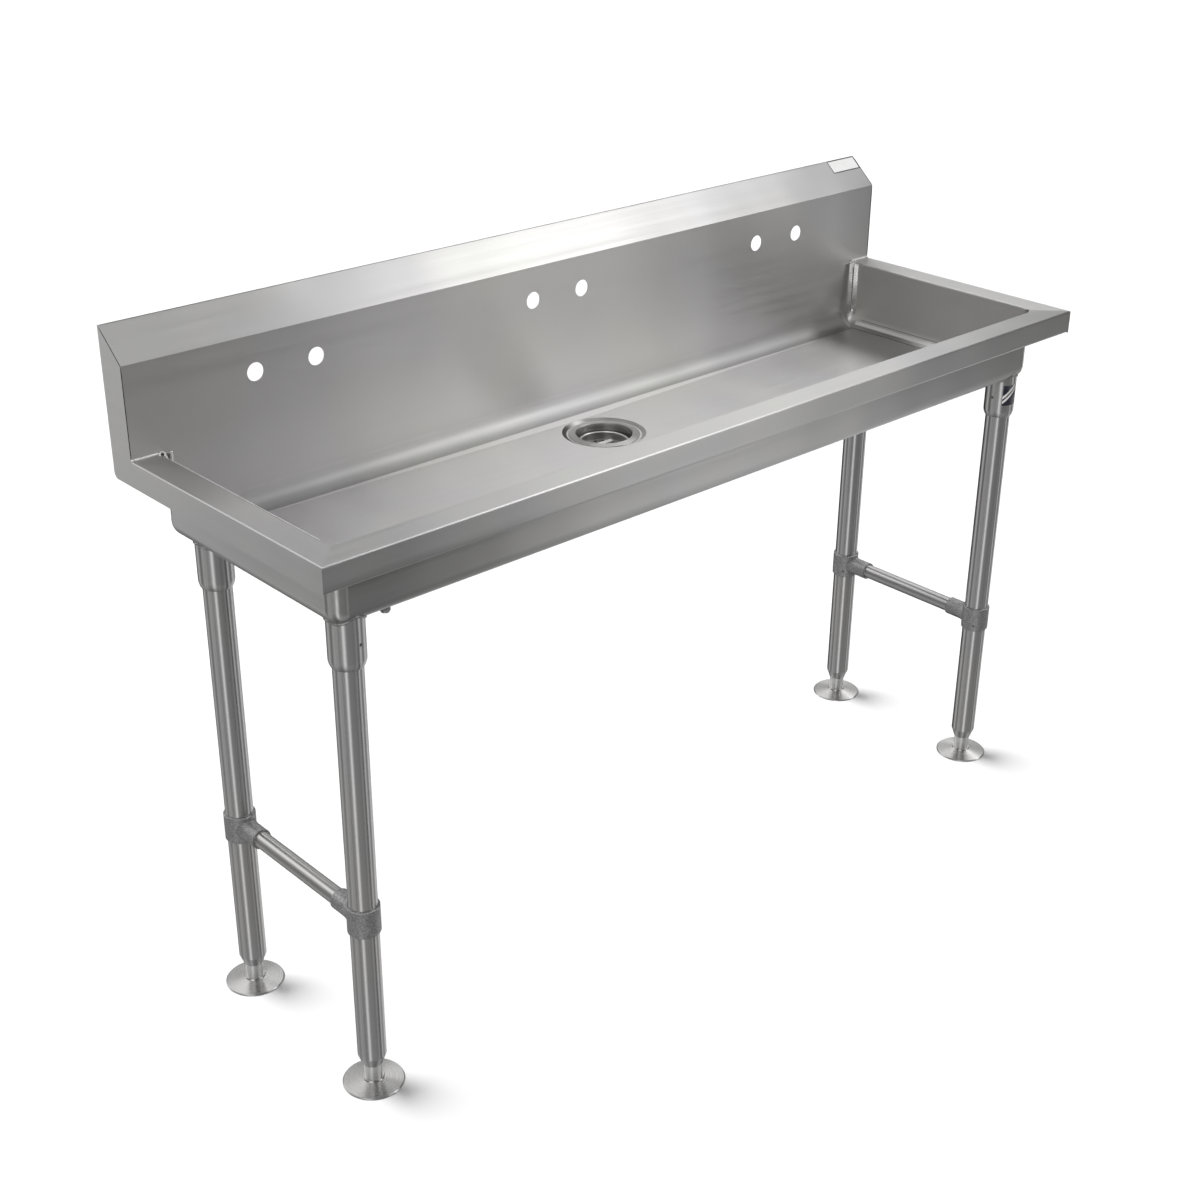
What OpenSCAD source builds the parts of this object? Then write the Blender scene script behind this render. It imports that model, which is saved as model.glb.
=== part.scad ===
// Freestanding three-station hand sink of brushed sheet steel, on four tube legs with flanged feet.
// X runs along the sink, the splash is at +Y, Z is up, and the origin is on the floor under the middle.

/* [Sink body] */
// Overall length, over the end panels
overall_l = 1524; // [1320:0.1:1830]
// Overall depth, front hem to rear of the splash
overall_d = 495.3; // [460:0.1:560]
// Height of the rim above the floor
rim_z = 863.6; // [760:0.1:920]
// Height of the splash above the rim
splash_h = 177.8; // [150:0.1:305]
// Depth of the sloped return on top of the splash
return_d = 50.8; // [35:0.1:65]
// Rise of the sloped return
return_rise = 44.45; // [20:0.05:60]
// Width of the flat rim
rim_w = 44.45; // [35:0.05:60]
// Height of the skirt that hangs from the rim
skirt_h = 38.1; // [25:0.1:60]
// Depth of the bowl at its walls
bowl_h = 117; // [90:0.5:200]
// Thickness of the sheet
sheet_t = 1.5; // [1.2:0.1:2]
// Inside radius of the bowl's coves at the front and the ends
cove_r = 20; // [15:0.5:25]
// Inside radius of the cove under the splash
back_cove_r = 30; // [26:0.5:34]
// Outside radius of the rolled edge between the rim and the bowl
edge_r = 3; // [2.5:0.1:4]
// Outside radius of the fold between the rim and its skirt
fold_r = 2.5; // [2.2:0.1:4]
// Radius of the end panel's lower rear corner
panel_corner_r = 9; // [4:0.5:20]
// Height of the lip at the rear of the splash
rear_lip_h = 22; // [8:0.5:40]
// Outside radius of the bend under the front skirt
hem_r = 5; // [2.5:0.1:8]
// Width of the flange that returns under the front skirt
hem_w = 10; // [4:0.5:16]
// Fall of the floor from the walls to the drain
floor_fall = 3.5; // [1:0.1:8]

/* [Faucet holes] */
// Number of stations along the splash
station_count = 3; // [1:1:3]
// Distance from one station to the next
station_pitch = 508; // [300:1:520]
// Distance between a station's two holes
hole_gap = 101.6; // [80:0.1:203.2]
// Diameter of a faucet hole
hole_d = 27; // [20:0.5:32]
// Height of the holes above the rim
hole_rise = 80; // [45:0.5:100]

/* [Drain] */
// Distance from the splash to the drain's centre
drain_back = 110; // [106:0.5:150]
// Diameter of the dished recess in the floor
dish_d = 134; // [131:0.5:150]
// Width of the dish's sloping side
dish_side_w = 7; // [4:0.5:10]
// Depth of the dished recess
dish_h = 3; // [2:0.1:5]
// Diameter of the strainer body's flange
flange_d = 114.3; // [108:0.1:117]
// Thickness of the strainer body's flange
flange_t = 2.2; // [1.5:0.1:3]
// Diameter of the drain's opening
opening_d = 89; // [84:0.5:90]
// Depth from the opening's edge to the ledge that carries the basket
ledge_depth = 15; // [9:0.5:16]
// Inside diameter of the ledge
ledge_d = 76; // [72:0.5:80]
// Depth of the cup under the opening's edge
cup_depth = 46; // [40:0.5:60]
// Wall of the strainer body
body_wall = 1.8; // [1.2:0.1:2.4]
// Outside diameter of the threaded outlet
outlet_d = 47.8; // [40:0.1:50]
// Inside diameter of the outlet
outlet_bore = 38; // [32:0.5:38]
// Length of the outlet
outlet_l = 24; // [15:0.5:40]
// Thickness of the rubber gasket
gasket_t = 3; // [2:0.5:5]
// Thickness of the friction washer
washer_t = 1; // [0.5:0.1:2]
// Height of the locknut
locknut_h = 10; // [7:0.5:14]
// Outside diameter of the locknut
locknut_d = 106; // [102:0.5:112]
// Number of lugs on the locknut
locknut_lugs = 6; // [4:1:8]

/* [Strainer basket] */
// Depth of the basket under its rim
basket_h = 10.5; // [10:0.5:18]
// Sheet of the basket
basket_t = 0.9; // [0.7:0.1:1.2]
// Diameter of the basket's rolled rim wire
basket_rim_d = 2.4; // [1.6:0.1:3]
// Number of holes in the outer ring
outer_hole_count = 14; // [8:1:18]
// Number of holes in the inner ring
inner_hole_count = 8; // [6:1:10]
// Diameter of a strainer hole
strainer_hole_d = 5.2; // [3:0.1:6.5]
// Diameter of the rubber stopper
stopper_d = 44; // [40:0.5:52]
// Thickness of the rubber stopper
stopper_t = 3; // [2:0.5:4]
// Diameter of the basket's post
post_d = 7; // [5:0.1:9]
// Width of the lift bar
bar_w = 9; // [6:0.5:12]
// Length of the lift bar
bar_l = 46; // [36:0.5:52]
// Height of the lift bar over the basket's floor
bar_h = 8.5; // [4:0.5:9]
// Thickness of the lift bar
bar_t = 1.2; // [0.8:0.1:2]

/* [Legs] */
// Outside diameter of a leg tube
leg_d = 41.275; // [38.1:0.005:44.45]
// Wall of a leg tube
leg_wall = 1.5; // [1.2:0.1:2.5]
// Distance from the bowl's outer end to a leg's axis
leg_inset_x = 33; // [28:0.5:80]
// Distance from the bowl's outer front to a front leg's axis
leg_inset_y = 28; // [27:0.5:60]
// Distance from a front leg to the rear leg behind it
leg_span = 310; // [240:1:330]
// Outside diameter of a leg socket
socket_d = 50.8; // [49:0.1:54]
// Length of a socket under the bowl
socket_l = 66; // [50:0.5:90]
// Length of the socket's rounded lower end
socket_nose = 12; // [6:0.5:18]
// Thickness of metal over the leg inside its socket
socket_cap = 6; // [3:0.5:10]
// Radial clearance of a leg in its socket or tee
leg_clear = 0.1; // [0.05:0.05:0.3]

/* [Cross braces] */
// Height of the braces above the floor
brace_z = 286; // [200:1:450]
// Outside diameter of a cross tube
cross_d = 25.4; // [19:0.1:30]
// Wall of a cross tube
cross_wall = 1.5; // [1:0.1:2.5]
// Outside diameter of a tee's collar
tee_d = 47.4; // [46.8:0.1:52]
// Height of a tee's collar
tee_h = 44; // [36:0.5:60]
// Outside diameter of a tee's branch
branch_d = 31.4; // [30.6:0.1:36]
// Distance from the leg's axis to the branch's mouth
branch_reach = 57; // [48:0.5:70]
// Depth of a cross tube's seat in the branch
branch_seat = 26; // [15:0.5:30]

/* [Feet] */
// Height of a leg tube's lower end above the floor
tube_end_z = 52; // [48:0.5:80]
// Length of the insert's cone under the tube
cone_h = 18; // [12:0.5:20]
// Diameter of the cone's lower end
cone_d = 29.4; // [28:0.1:34]
// Length of the insert inside the tube
insert_l = 48; // [40:0.5:70]
// Diameter of a foot's stem
stem_d = 26.8; // [22:0.1:27.5]
// Diameter of the stem where it meets the plate
stem_foot_d = 24.4; // [18:0.1:26]
// Diameter of the threaded stud on top of the stem
stud_d = 15.9; // [12:0.1:18]
// Length of the threaded stud
stud_l = 44; // [36:0.5:60]
// Diameter of a foot's plate
plate_d = 88.9; // [70:0.1:110]
// Thickness of a foot's plate
plate_t = 2.4; // [1.8:0.1:4]
// Rise of the plate from its edge to its hub
plate_rise = 4.5; // [2:0.5:8]
// Diameter of the plate's raised hub
hub_d = 32; // [29:0.5:38]
// How far a foot screws up from where it stands
foot_up = 12.7; // [5:0.1:14]
// How far a foot screws down from where it stands
foot_down = 12.7; // [5:0.1:14]
// Radial clearance of a stem in its insert
stem_clear = 0.05; // [0.02:0.01:0.1]

/* [Set screws] */
// Diameter of a set screw
screw_d = 5; // [4:0.1:8]
// Distance across the flats of a set screw's socket
screw_key = 2.5; // [2:0.1:3]
// Depth of a set screw's socket
screw_key_depth = 1.2; // [0.8:0.1:2]
// Radial clearance round a set screw
screw_clear = 0.05; // [0.02:0.01:0.1]
// How far a set screw lies under the surface round it
screw_sink = 0.4; // [0.2:0.1:1]
// Distance from the bowl's underside to a socket's screw
socket_screw_drop = 30; // [12:0.5:40]
// Distance from a tee's middle down to its screw
tee_screw_drop = 10; // [4:0.5:14]

/* [Underside stud] */
// Distance from the bowl's end to the stud
under_stud_x = 92; // [80:1:160]
// Distance from the bowl's front to the stud
under_stud_y = 24; // [22:0.5:40]
// Diameter of the stud
under_stud_d = 12; // [8:0.5:16]
// Length of the stud under the floor
under_stud_l = 9; // [6:0.5:14]

/* [Hidden] */
$fn = 96;

// How far a cut runs past the surface that it opens
overrun = 5;

// Outer faces
end_x = overall_l / 2;
front_y = -overall_d / 2;
rear_y = overall_d / 2;
splash_y = rear_y - return_d;
top_z = rim_z + splash_h;
bend_z = top_z - return_rise;
skirt_z = rim_z - skirt_h;

// Inner faces of the bowl, and the centre lines of its coves
in_x = end_x - rim_w;
in_y = front_y + rim_w;
floor_z = rim_z - bowl_h;
cove_x = in_x - cove_r;
cove_front_y = in_y + cove_r;
cove_rear_y = splash_y - cove_r;
cove_z = floor_z + cove_r;
back_cove_y = splash_y - back_cove_r;
back_cove_z = floor_z + back_cove_r;
under_z = floor_z - sheet_t;

// Drain
drain_y = splash_y - drain_back;
flat_z = floor_z - floor_fall;
seat_z = flat_z - dish_h;
flat_half = dish_d / 2 + sheet_t;
lip_z = seat_z + flange_t;
body_d = opening_d + 2 * body_wall;
drain_clear = 0.6;
sink_hole_d = body_d + 2 * drain_clear;
ledge_z = lip_z - ledge_depth;
cup_z = lip_z - cup_depth;
thread_end = 2;
gasket_z = seat_z - sheet_t - gasket_t;
washer_z = gasket_z - washer_t;
locknut_z = washer_z - locknut_h;
thread_z = locknut_z - thread_end;
thread_clear = 0.1;
lug_w = 9;
lug_reach = 4;
lug_step = 3;

// Basket
basket_clear = 0.5;
basket_gap = 0.3;
basket_d = ledge_d - 2 * basket_clear;
basket_seat_z = ledge_z + basket_gap;
basket_z = basket_seat_z - basket_h;
outer_ring_share = 0.76;
inner_ring_share = 0.42;
stopper_gap = 8;
stopper_z = cup_z + body_wall + stopper_gap;
bar_leg_w = 5;

// Legs
leg_x = in_x + sheet_t - leg_inset_x;
leg_front_y = in_y - sheet_t + leg_inset_y;
leg_rear_y = leg_front_y + leg_span;
leg_bore_d = leg_d + 2 * leg_clear;
socket_z = under_z - socket_l;
leg_top_z = under_z - socket_cap - floor_fall;

// Feet
cone_z = tube_end_z - cone_h;
insert_top_z = tube_end_z + insert_l;
guide_hold = 11.3;
stem_guide_l = foot_down + guide_hold;
stem_seat_gap = 1;
stem_top_z = cone_z + stem_guide_l - stem_seat_gap;
guide_top_z = cone_z + stem_guide_l + foot_up;
hub_z = plate_t + plate_rise;
insert_clear = 0.1;
lip_h = 1.6;
lip_t = 2;
turn_h = 1.2;

// Nut on the underside stud
under_nut_d = 15.6;

// Chamfer on a tee's collar
tee_edge = 1.5;

// Where the set screws point, in degrees from +X: front left, front right, rear left and rear right
SOCKET_SCREW_TURNS = [281, 186, 0, 180];
TEE_SCREW_TURNS = [-31, 211, -31, 211];

steel = [0.72, 0.72, 0.71];
tube_steel = [0.66, 0.66, 0.65];
cast_grey = [0.44, 0.44, 0.45];
bright_steel = [0.8, 0.8, 0.8];
black_rubber = [0.1, 0.1, 0.1];
fibre = [0.55, 0.42, 0.28];

// Places: 0 front left, 1 front right, 2 rear left, 3 rear right
function leg_place(i) = [(i % 2 == 0 ? -1 : 1) * leg_x, i < 2 ? leg_front_y : leg_rear_y, 0];
function station_x(i) = (i - (station_count - 1) / 2) * station_pitch;

// An outline in the Y-Z plane, run along X
module along_x(from, to) {
  translate([from, 0, 0]) rotate([90, 0, 90]) linear_extrude(to - from) children();
}

// An outline in the X-Z plane, run along Y
module along_y(from, to) {
  translate([0, to, 0]) rotate([90, 0, 0]) linear_extrude(to - from) children();
}

// A quarter of a bent sheet, seen on edge: inner and outer radius, and the quadrant that it fills
module bend(centre, inner, outer, side_u, side_v) {
  translate(centre) intersection() {
    difference() {
      circle(outer);
      circle(inner);
    }
    translate([side_u < 0 ? -outer : 0, side_v < 0 ? -outer : 0]) square(outer);
  }
}

// A flat stretch of sheet, seen on edge
module strip(low, high) {
  translate(low) square(high - low);
}

// The space inside the bowl's coved walls, grown by a wall's thickness for their outside
module bowl_space(wall, top) {
  intersection() {
    round_space(cove_r + wall, top);
    along_x(-end_x, end_x) {
      translate([back_cove_y, back_cove_z]) circle(back_cove_r + wall);
      strip([front_y, floor_z - wall], [back_cove_y, top]);
      strip([back_cove_y - wall, back_cove_z], [splash_y + wall, top]);
    }
  }
}

// The same space with one radius on every cove
module round_space(r, top) {
  front = cove_front_y;
  rear = cove_rear_y;
  tall = top - cove_z;
  for (x = [-cove_x, cove_x], y = [front, rear]) translate([x, y, cove_z]) {
    sphere(r);
    cylinder(r = r, h = tall);
  }
  for (x = [-cove_x, cove_x]) translate([x, rear, cove_z]) rotate([90, 0, 0])
    cylinder(r = r, h = rear - front);
  for (y = [front, rear]) translate([-cove_x, y, cove_z]) rotate([0, 90, 0])
    cylinder(r = r, h = 2 * cove_x);
  translate([-cove_x - r, front, cove_z]) cube([2 * (cove_x + r), rear - front, tall]);
  translate([-cove_x, front - r, cove_z]) cube([2 * cove_x, rear - front + 2 * r, tall]);
  translate([-cove_x, front, cove_z - r]) cube([2 * cove_x, rear - front, r]);
}

// The floor between the coves: four planes that fall to a flat round the drain
module floor_slab() {
  outer = [[-cove_x, cove_front_y], [cove_x, cove_front_y], [cove_x, back_cove_y], [-cove_x, back_cove_y]];
  inner = [for (c = [[-1, -1], [1, -1], [1, 1], [-1, 1]]) [c.x * flat_half, drain_y + c.y * flat_half]];
  points = [
    for (p = outer) [p.x, p.y, floor_z],
    for (p = inner) [p.x, p.y, flat_z],
    for (p = outer) [p.x, p.y, floor_z - sheet_t],
    for (p = inner) [p.x, p.y, flat_z - sheet_t]
  ];
  faces = [
    for (i = [0:3]) let (j = (i + 1) % 4) [i, i + 4, j + 4, j],
    [4, 7, 6, 5],
    for (i = [0:3]) let (j = (i + 1) % 4) [i + 8, j + 8, j + 12, i + 12],
    [12, 13, 14, 15],
    for (i = [0:3]) let (j = (i + 1) % 4) [i, j, j + 8, i + 8]
  ];
  polyhedron(points, faces);
}

// The part of the plan that belongs to the front rim, with mitred ends
module front_plan() {
  reach = rim_w + cove_r;
  polygon([
    [-end_x - overrun, front_y - overrun], [end_x + overrun, front_y - overrun],
    [end_x - reach, front_y + reach], [-end_x + reach, front_y + reach]
  ]);
}

// The part of the plan that belongs to the right end's rim
module end_plan() {
  reach = rim_w + cove_r;
  polygon([
    [end_x + overrun, front_y - overrun], [end_x - reach, front_y + reach],
    [end_x - reach, splash_y], [end_x + overrun, splash_y]
  ]);
}

module plan_block(low, high) {
  translate([0, 0, low]) linear_extrude(high - low) children();
}

// The flat top of the rim, inside its folds and outside its rolled edge
module rim_top() {
  r = cove_r + edge_r;
  plan_block(rim_z - sheet_t, rim_z) difference() {
    translate([-end_x + fold_r, front_y + fold_r])
      square([2 * (end_x - fold_r), splash_y - front_y - fold_r]);
    for (x = [-cove_x, cove_x], y = [cove_front_y, cove_rear_y]) translate([x, y]) circle(r);
    translate([-cove_x - r, cove_front_y]) square([2 * (cove_x + r), cove_rear_y - cove_front_y]);
    translate([-cove_x, cove_front_y - r]) square([2 * cove_x, cove_rear_y - cove_front_y + 2 * r]);
  }
}

// The rolled edge between the bowl's wall and the rim, seen on edge, with the wall at the left
module rolled_edge(wall) {
  bend([wall + edge_r, rim_z - edge_r], edge_r - sheet_t, edge_r, -1, 1);
  strip([wall + edge_r, rim_z - sheet_t], [wall + 2 * edge_r, rim_z]);
}

// The rolled edge at one corner of the bowl, from the middle of that corner
module rolled_corner(x, y, turn, sweep) {
  translate([x, y, 0]) rotate([0, 0, turn]) rotate_extrude(angle = sweep) rolled_edge(cove_r);
}

// The splash, its return and lip, and the bowl's rear wall and cove, in one bent sheet
module back_sheet() {
  slope = atan2(return_rise, return_d);
  color(steel) difference() {
    union() {
      along_x(-cove_x, cove_x) {
        bend([back_cove_y, back_cove_z], back_cove_r, back_cove_r + sheet_t, 1, -1);
        strip([splash_y, back_cove_z], [splash_y + sheet_t, rim_z]);
      }
      along_x(-end_x + sheet_t, end_x - sheet_t) {
        polygon([
          [splash_y, rim_z - sheet_t], [splash_y, bend_z], [rear_y, top_z],
          [rear_y, top_z - rear_lip_h], [rear_y - sheet_t, top_z - rear_lip_h],
          [rear_y - sheet_t, top_z - sheet_t * (1 + tan(slope)) - sheet_t * (1 / cos(slope) - 1)],
          [splash_y + sheet_t, bend_z - sheet_t * (1 / cos(slope) - tan(slope))],
          [splash_y + sheet_t, rim_z - sheet_t]
        ]);
      }
    }
    for (i = [0:station_count - 1], side = [-1, 1])
      translate([station_x(i) + side * hole_gap / 2, splash_y - overrun, rim_z + hole_rise])
        rotate([-90, 0, 0]) cylinder(d = hole_d, h = 2 * overrun + sheet_t);
  }
}

// The creased floor and the dish that the drain sits in
module floor_sheet() {
  low = seat_z - sheet_t;
  side_r = dish_d / 2;
  color(steel) difference() {
    union() {
      difference() {
        floor_slab();
        translate([0, drain_y, flat_z - overrun]) cylinder(r = side_r, h = 2 * overrun);
      }
      translate([0, drain_y, 0]) rotate_extrude() polygon([
        [side_r + sheet_t / 2, flat_z], [side_r, flat_z], [side_r - dish_side_w, seat_z],
        [0, seat_z], [0, low], [side_r - dish_side_w, low],
        [side_r, flat_z - sheet_t], [side_r + sheet_t / 2, flat_z - sheet_t]
      ]);
    }
    translate([0, drain_y, low - overrun]) cylinder(d = sink_hole_d, h = 2 * overrun + sheet_t);
  }
}

// The front cove and wall, the front rim with its mitred ends, the skirt and the flange under it
module front_sheet() {
  color(steel) {
    along_x(-cove_x, cove_x) {
      bend([cove_front_y, cove_z], cove_r, cove_r + sheet_t, -1, -1);
      strip([in_y - sheet_t, cove_z], [in_y, rim_z - edge_r]);
      mirror([1, 0]) rolled_edge(-in_y);
    }
    rolled_corner(-cove_x, cove_front_y, -135, 45);
    rolled_corner(cove_x, cove_front_y, -90, 45);
    intersection() {
      plan_block(skirt_z, rim_z + overrun) front_plan();
      union() {
        rim_top();
        along_x(-end_x, end_x) {
          bend([front_y + fold_r, rim_z - fold_r], fold_r - sheet_t, fold_r, -1, 1);
          strip([front_y, skirt_z + hem_r], [front_y + sheet_t, rim_z - fold_r]);
          bend([front_y + hem_r, skirt_z + hem_r], hem_r - sheet_t, hem_r, -1, -1);
          strip([front_y + hem_r, skirt_z], [front_y + hem_r + hem_w, skirt_z + sheet_t]);
        }
      }
    }
  }
}

// An end wall of the bowl, with the coves that join it to the front, the floor and the rear wall
module right_bowl_end() {
  color(steel) intersection() {
    difference() {
      bowl_space(sheet_t, rim_z - edge_r);
      bowl_space(0, rim_z);
    }
    translate([cove_x, front_y, under_z]) cube([rim_w + cove_r, overall_d, bowl_h + sheet_t]);
  }
}

// The flat end of the sink and its splash, and the side rim that is folded from it
module right_end_panel() {
  color(steel) {
    intersection() {
      plan_block(skirt_z, rim_z + overrun) end_plan();
      union() {
        rim_top();
        along_y(front_y, splash_y) {
          bend([end_x - fold_r, rim_z - fold_r], fold_r - sheet_t, fold_r, 1, 1);
          strip([end_x - sheet_t, skirt_z], [end_x, rim_z - fold_r]);
        }
      }
    }
    along_y(cove_front_y, cove_rear_y) rolled_edge(in_x);
    rolled_corner(cove_x, cove_front_y, -45, 45);
    intersection() {
      rolled_corner(cove_x, cove_rear_y, 0, 90);
      translate([cove_x, cove_rear_y, rim_z - edge_r]) cube([rim_w, cove_r, edge_r]);
    }
    along_x(end_x - sheet_t, end_x) difference() {
      polygon([
        [splash_y, skirt_z], [rear_y, skirt_z], [rear_y, top_z], [splash_y, bend_z]
      ]);
      difference() {
        translate([rear_y - panel_corner_r, skirt_z]) square(panel_corner_r);
        translate([rear_y - panel_corner_r, skirt_z + panel_corner_r]) circle(panel_corner_r);
      }
    }
  }
}

// A short weld stud under the floor, near the front left leg
module underside_stud() {
  color(tube_steel) difference() {
    translate([under_stud_x - in_x - sheet_t, under_stud_y + in_y - sheet_t, under_z - under_stud_l]) {
      cylinder(d = under_stud_d, h = under_stud_l + sheet_t);
      translate([0, 0, under_stud_l / 3]) cylinder(d = under_nut_d, h = under_stud_l / 3, $fn = 6);
    }
    bowl_space(sheet_t, rim_z);
    floor_slab();
  }
}

// A radial hole or screw at an angle round a leg, with its inner end at the given radius
module radial(turn, height, from, length, d) {
  rotate([0, 0, turn]) translate([from, 0, height]) rotate([0, 90, 0]) cylinder(d = d, h = length);
}

// A set screw with a key socket in its outer end
module set_screw(turn, height, inner, outer) {
  length = outer - inner;
  rotate([0, 0, turn]) translate([inner, 0, height]) rotate([0, 90, 0]) difference() {
    cylinder(d = screw_d, h = length);
    translate([0, 0, length - screw_key_depth]) cylinder(d = screw_key / cos(30), h = overrun, $fn = 6);
  }
}

// The socket that holds a leg's upper end, shaped on top to the bowl's underside
module leg_socket(i) {
  r = socket_d / 2;
  nose_w = r - leg_d / 2 - leg_clear - sheet_t;
  arc_r = (nose_w * nose_w + socket_nose * socket_nose) / (2 * nose_w);
  color(tube_steel) difference() {
    translate([leg_place(i).x, leg_place(i).y, 0]) difference() {
      rotate_extrude() {
        strip([0, socket_z + socket_nose], [r, cove_z]);
        intersection() {
          translate([r - arc_r, socket_z + socket_nose]) circle(arc_r);
          strip([0, socket_z], [r, socket_z + socket_nose]);
        }
      }
      translate([0, 0, socket_z - overrun]) cylinder(d = leg_bore_d, h = leg_top_z - socket_z + overrun);
      radial(SOCKET_SCREW_TURNS[i], under_z - socket_screw_drop, 0, r + overrun, screw_d + 2 * screw_clear);
    }
    bowl_space(sheet_t, rim_z);
    floor_slab();
  }
}

module socket_screws() {
  color(bright_steel) for (i = [0:3]) translate(leg_place(i))
    set_screw(SOCKET_SCREW_TURNS[i], under_z - socket_screw_drop, leg_d / 2, socket_d / 2 - screw_sink);
}

// A leg tube, from its socket to just above the foot
module leg_tube(i) {
  color(tube_steel) translate([leg_place(i).x, leg_place(i).y, tube_end_z]) difference() {
    cylinder(d = leg_d, h = leg_top_z - tube_end_z);
    translate([0, 0, -overrun]) cylinder(d = leg_d - 2 * leg_wall, h = leg_top_z - tube_end_z + 2 * overrun);
  }
}

// A cast tee: a collar round the leg, and a branch that takes the cross tube
module tee(i) {
  way = i < 2 ? 1 : -1;
  edge = tee_edge;
  color(cast_grey) translate([leg_place(i).x, leg_place(i).y, brace_z]) difference() {
    union() {
      rotate_extrude() polygon([
        [0, -tee_h / 2], [tee_d / 2 - edge, -tee_h / 2], [tee_d / 2, -tee_h / 2 + edge],
        [tee_d / 2, tee_h / 2 - edge], [tee_d / 2 - edge, tee_h / 2], [0, tee_h / 2]
      ]);
      rotate([-90 * way, 0, 0]) cylinder(d = branch_d, h = branch_reach);
      rotate([-90 * way, 0, 0]) cylinder(d1 = tee_h - 2 * edge, d2 = branch_d, h = tee_d / 2 + 3 * edge);
    }
    translate([0, 0, -tee_h]) cylinder(d = leg_bore_d, h = 2 * tee_h);
    rotate([-90 * way, 0, 0]) translate([0, 0, branch_reach - branch_seat])
      cylinder(d = cross_d + 2 * leg_clear, h = branch_seat + overrun);
    radial(TEE_SCREW_TURNS[i], -tee_screw_drop, 0, tee_d, screw_d + 2 * screw_clear);
  }
}

module tee_screws() {
  color(bright_steel) for (i = [0:3]) translate(leg_place(i))
    set_screw(TEE_SCREW_TURNS[i], brace_z - tee_screw_drop, leg_d / 2, tee_d / 2 - screw_sink);
}

// A cross tube between a front tee and the rear tee behind it
module cross_tube(side) {
  start = leg_front_y + branch_reach - branch_seat;
  length = leg_span - 2 * (branch_reach - branch_seat);
  color(tube_steel) translate([side * leg_x, start, brace_z]) rotate([-90, 0, 0]) difference() {
    cylinder(d = cross_d, h = length);
    translate([0, 0, -overrun]) cylinder(d = cross_d - 2 * cross_wall, h = length + 2 * overrun);
  }
}

// The insert in a leg's lower end, with the cone that shows under the tube
module insert(i) {
  plug_r = leg_d / 2 - leg_wall - insert_clear;
  color(tube_steel) translate([leg_place(i).x, leg_place(i).y, 0]) rotate_extrude() polygon([
    [stem_d / 2 + stem_clear, cone_z], [cone_d / 2, cone_z],
    [leg_d / 2, tube_end_z - sheet_t], [leg_d / 2, tube_end_z], [plug_r, tube_end_z],
    [plug_r, insert_top_z], [stud_d / 2 + stem_clear, insert_top_z],
    [stud_d / 2 + stem_clear, guide_top_z], [stem_d / 2 + stem_clear, guide_top_z]
  ]);
}

// The stem of a foot: a stud, a parallel guide and a taper down to the plate
module foot_stem(i) {
  taper_z = cone_z - foot_up;
  color(tube_steel) translate([leg_place(i).x, leg_place(i).y, 0]) rotate_extrude() polygon([
    [0, plate_t], [stem_foot_d / 2, plate_t], [stem_foot_d / 2, hub_z + lip_h], [stem_d / 2, taper_z],
    [stem_d / 2, stem_top_z - sheet_t], [stem_d / 2 - sheet_t, stem_top_z], [stud_d / 2, stem_top_z],
    [stud_d / 2, stem_top_z + stud_l - sheet_t], [stud_d / 2 - sheet_t, stem_top_z + stud_l],
    [0, stem_top_z + stud_l]
  ]);
}

// The pressed plate of a foot: a shallow cone with a turned-down edge and a raised lip round the stem
module foot_plate(i) {
  r = plate_d / 2;
  hub_r = hub_d / 2;
  hole_r = stem_foot_d / 2;
  color(tube_steel) translate([leg_place(i).x, leg_place(i).y, 0]) rotate_extrude() polygon([
    [r - plate_t, 0], [r, 0], [r, turn_h], [r - turn_h, plate_t], [hub_r, hub_z],
    [hub_r - lip_t / 2, hub_z + lip_h], [hole_r, hub_z + lip_h], [hole_r, plate_t],
    [0, plate_t], [0, 0], [hole_r, 0], [hub_r, plate_rise]
  ]);
}

// The strainer body: a flange in the dish, and a cup with a ledge for the basket
module strainer_body() {
  open_r = opening_d / 2;
  ledge_r = ledge_d / 2;
  out_r = body_d / 2;
  shoulder_z = cup_z + body_wall;
  color(bright_steel) translate([0, drain_y, 0]) rotate_extrude() polygon([
    [flange_d / 2, seat_z], [flange_d / 2, seat_z + flange_t / 3], [open_r + body_wall, lip_z],
    [open_r, lip_z - flange_t / 3], [open_r, ledge_z], [ledge_r, ledge_z],
    [ledge_r, shoulder_z + body_wall], [ledge_r - body_wall, shoulder_z], [outlet_bore / 2, shoulder_z],
    [outlet_bore / 2, cup_z], [ledge_r - body_wall, cup_z], [ledge_r + body_wall, shoulder_z + body_wall],
    [ledge_r + body_wall, thread_z - body_wall], [out_r, thread_z], [out_r, seat_z]
  ]);
}

// The threaded outlet, brazed to the bottom of the cup
module outlet_stub() {
  color(bright_steel) ring(cup_z - outlet_l, outlet_bore, outlet_d, outlet_l);
}

module ring(z, inner_d, outer_d, height) {
  translate([0, drain_y, z]) difference() {
    cylinder(d = outer_d, h = height);
    translate([0, 0, -overrun]) cylinder(d = inner_d, h = height + 2 * overrun);
  }
}

module drain_gasket() {
  color(black_rubber) ring(gasket_z, body_d + 2 * thread_clear, flange_d, gasket_t);
}

module drain_washer() {
  color(fibre) ring(washer_z, body_d + 2 * thread_clear, flange_d, washer_t);
}

// The locknut, with lugs for a spanner
module drain_locknut() {
  color(tube_steel) {
    ring(locknut_z, body_d + 2 * thread_clear, locknut_d, locknut_h);
    for (i = [0:locknut_lugs - 1]) translate([0, drain_y, locknut_z]) rotate([0, 0, i * 360 / locknut_lugs])
      translate([body_d / 2 + body_wall, -lug_w / 2, 0])
        cube([(locknut_d - body_d) / 2 - body_wall + lug_reach, lug_w, locknut_h - lug_step]);
  }
}

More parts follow.
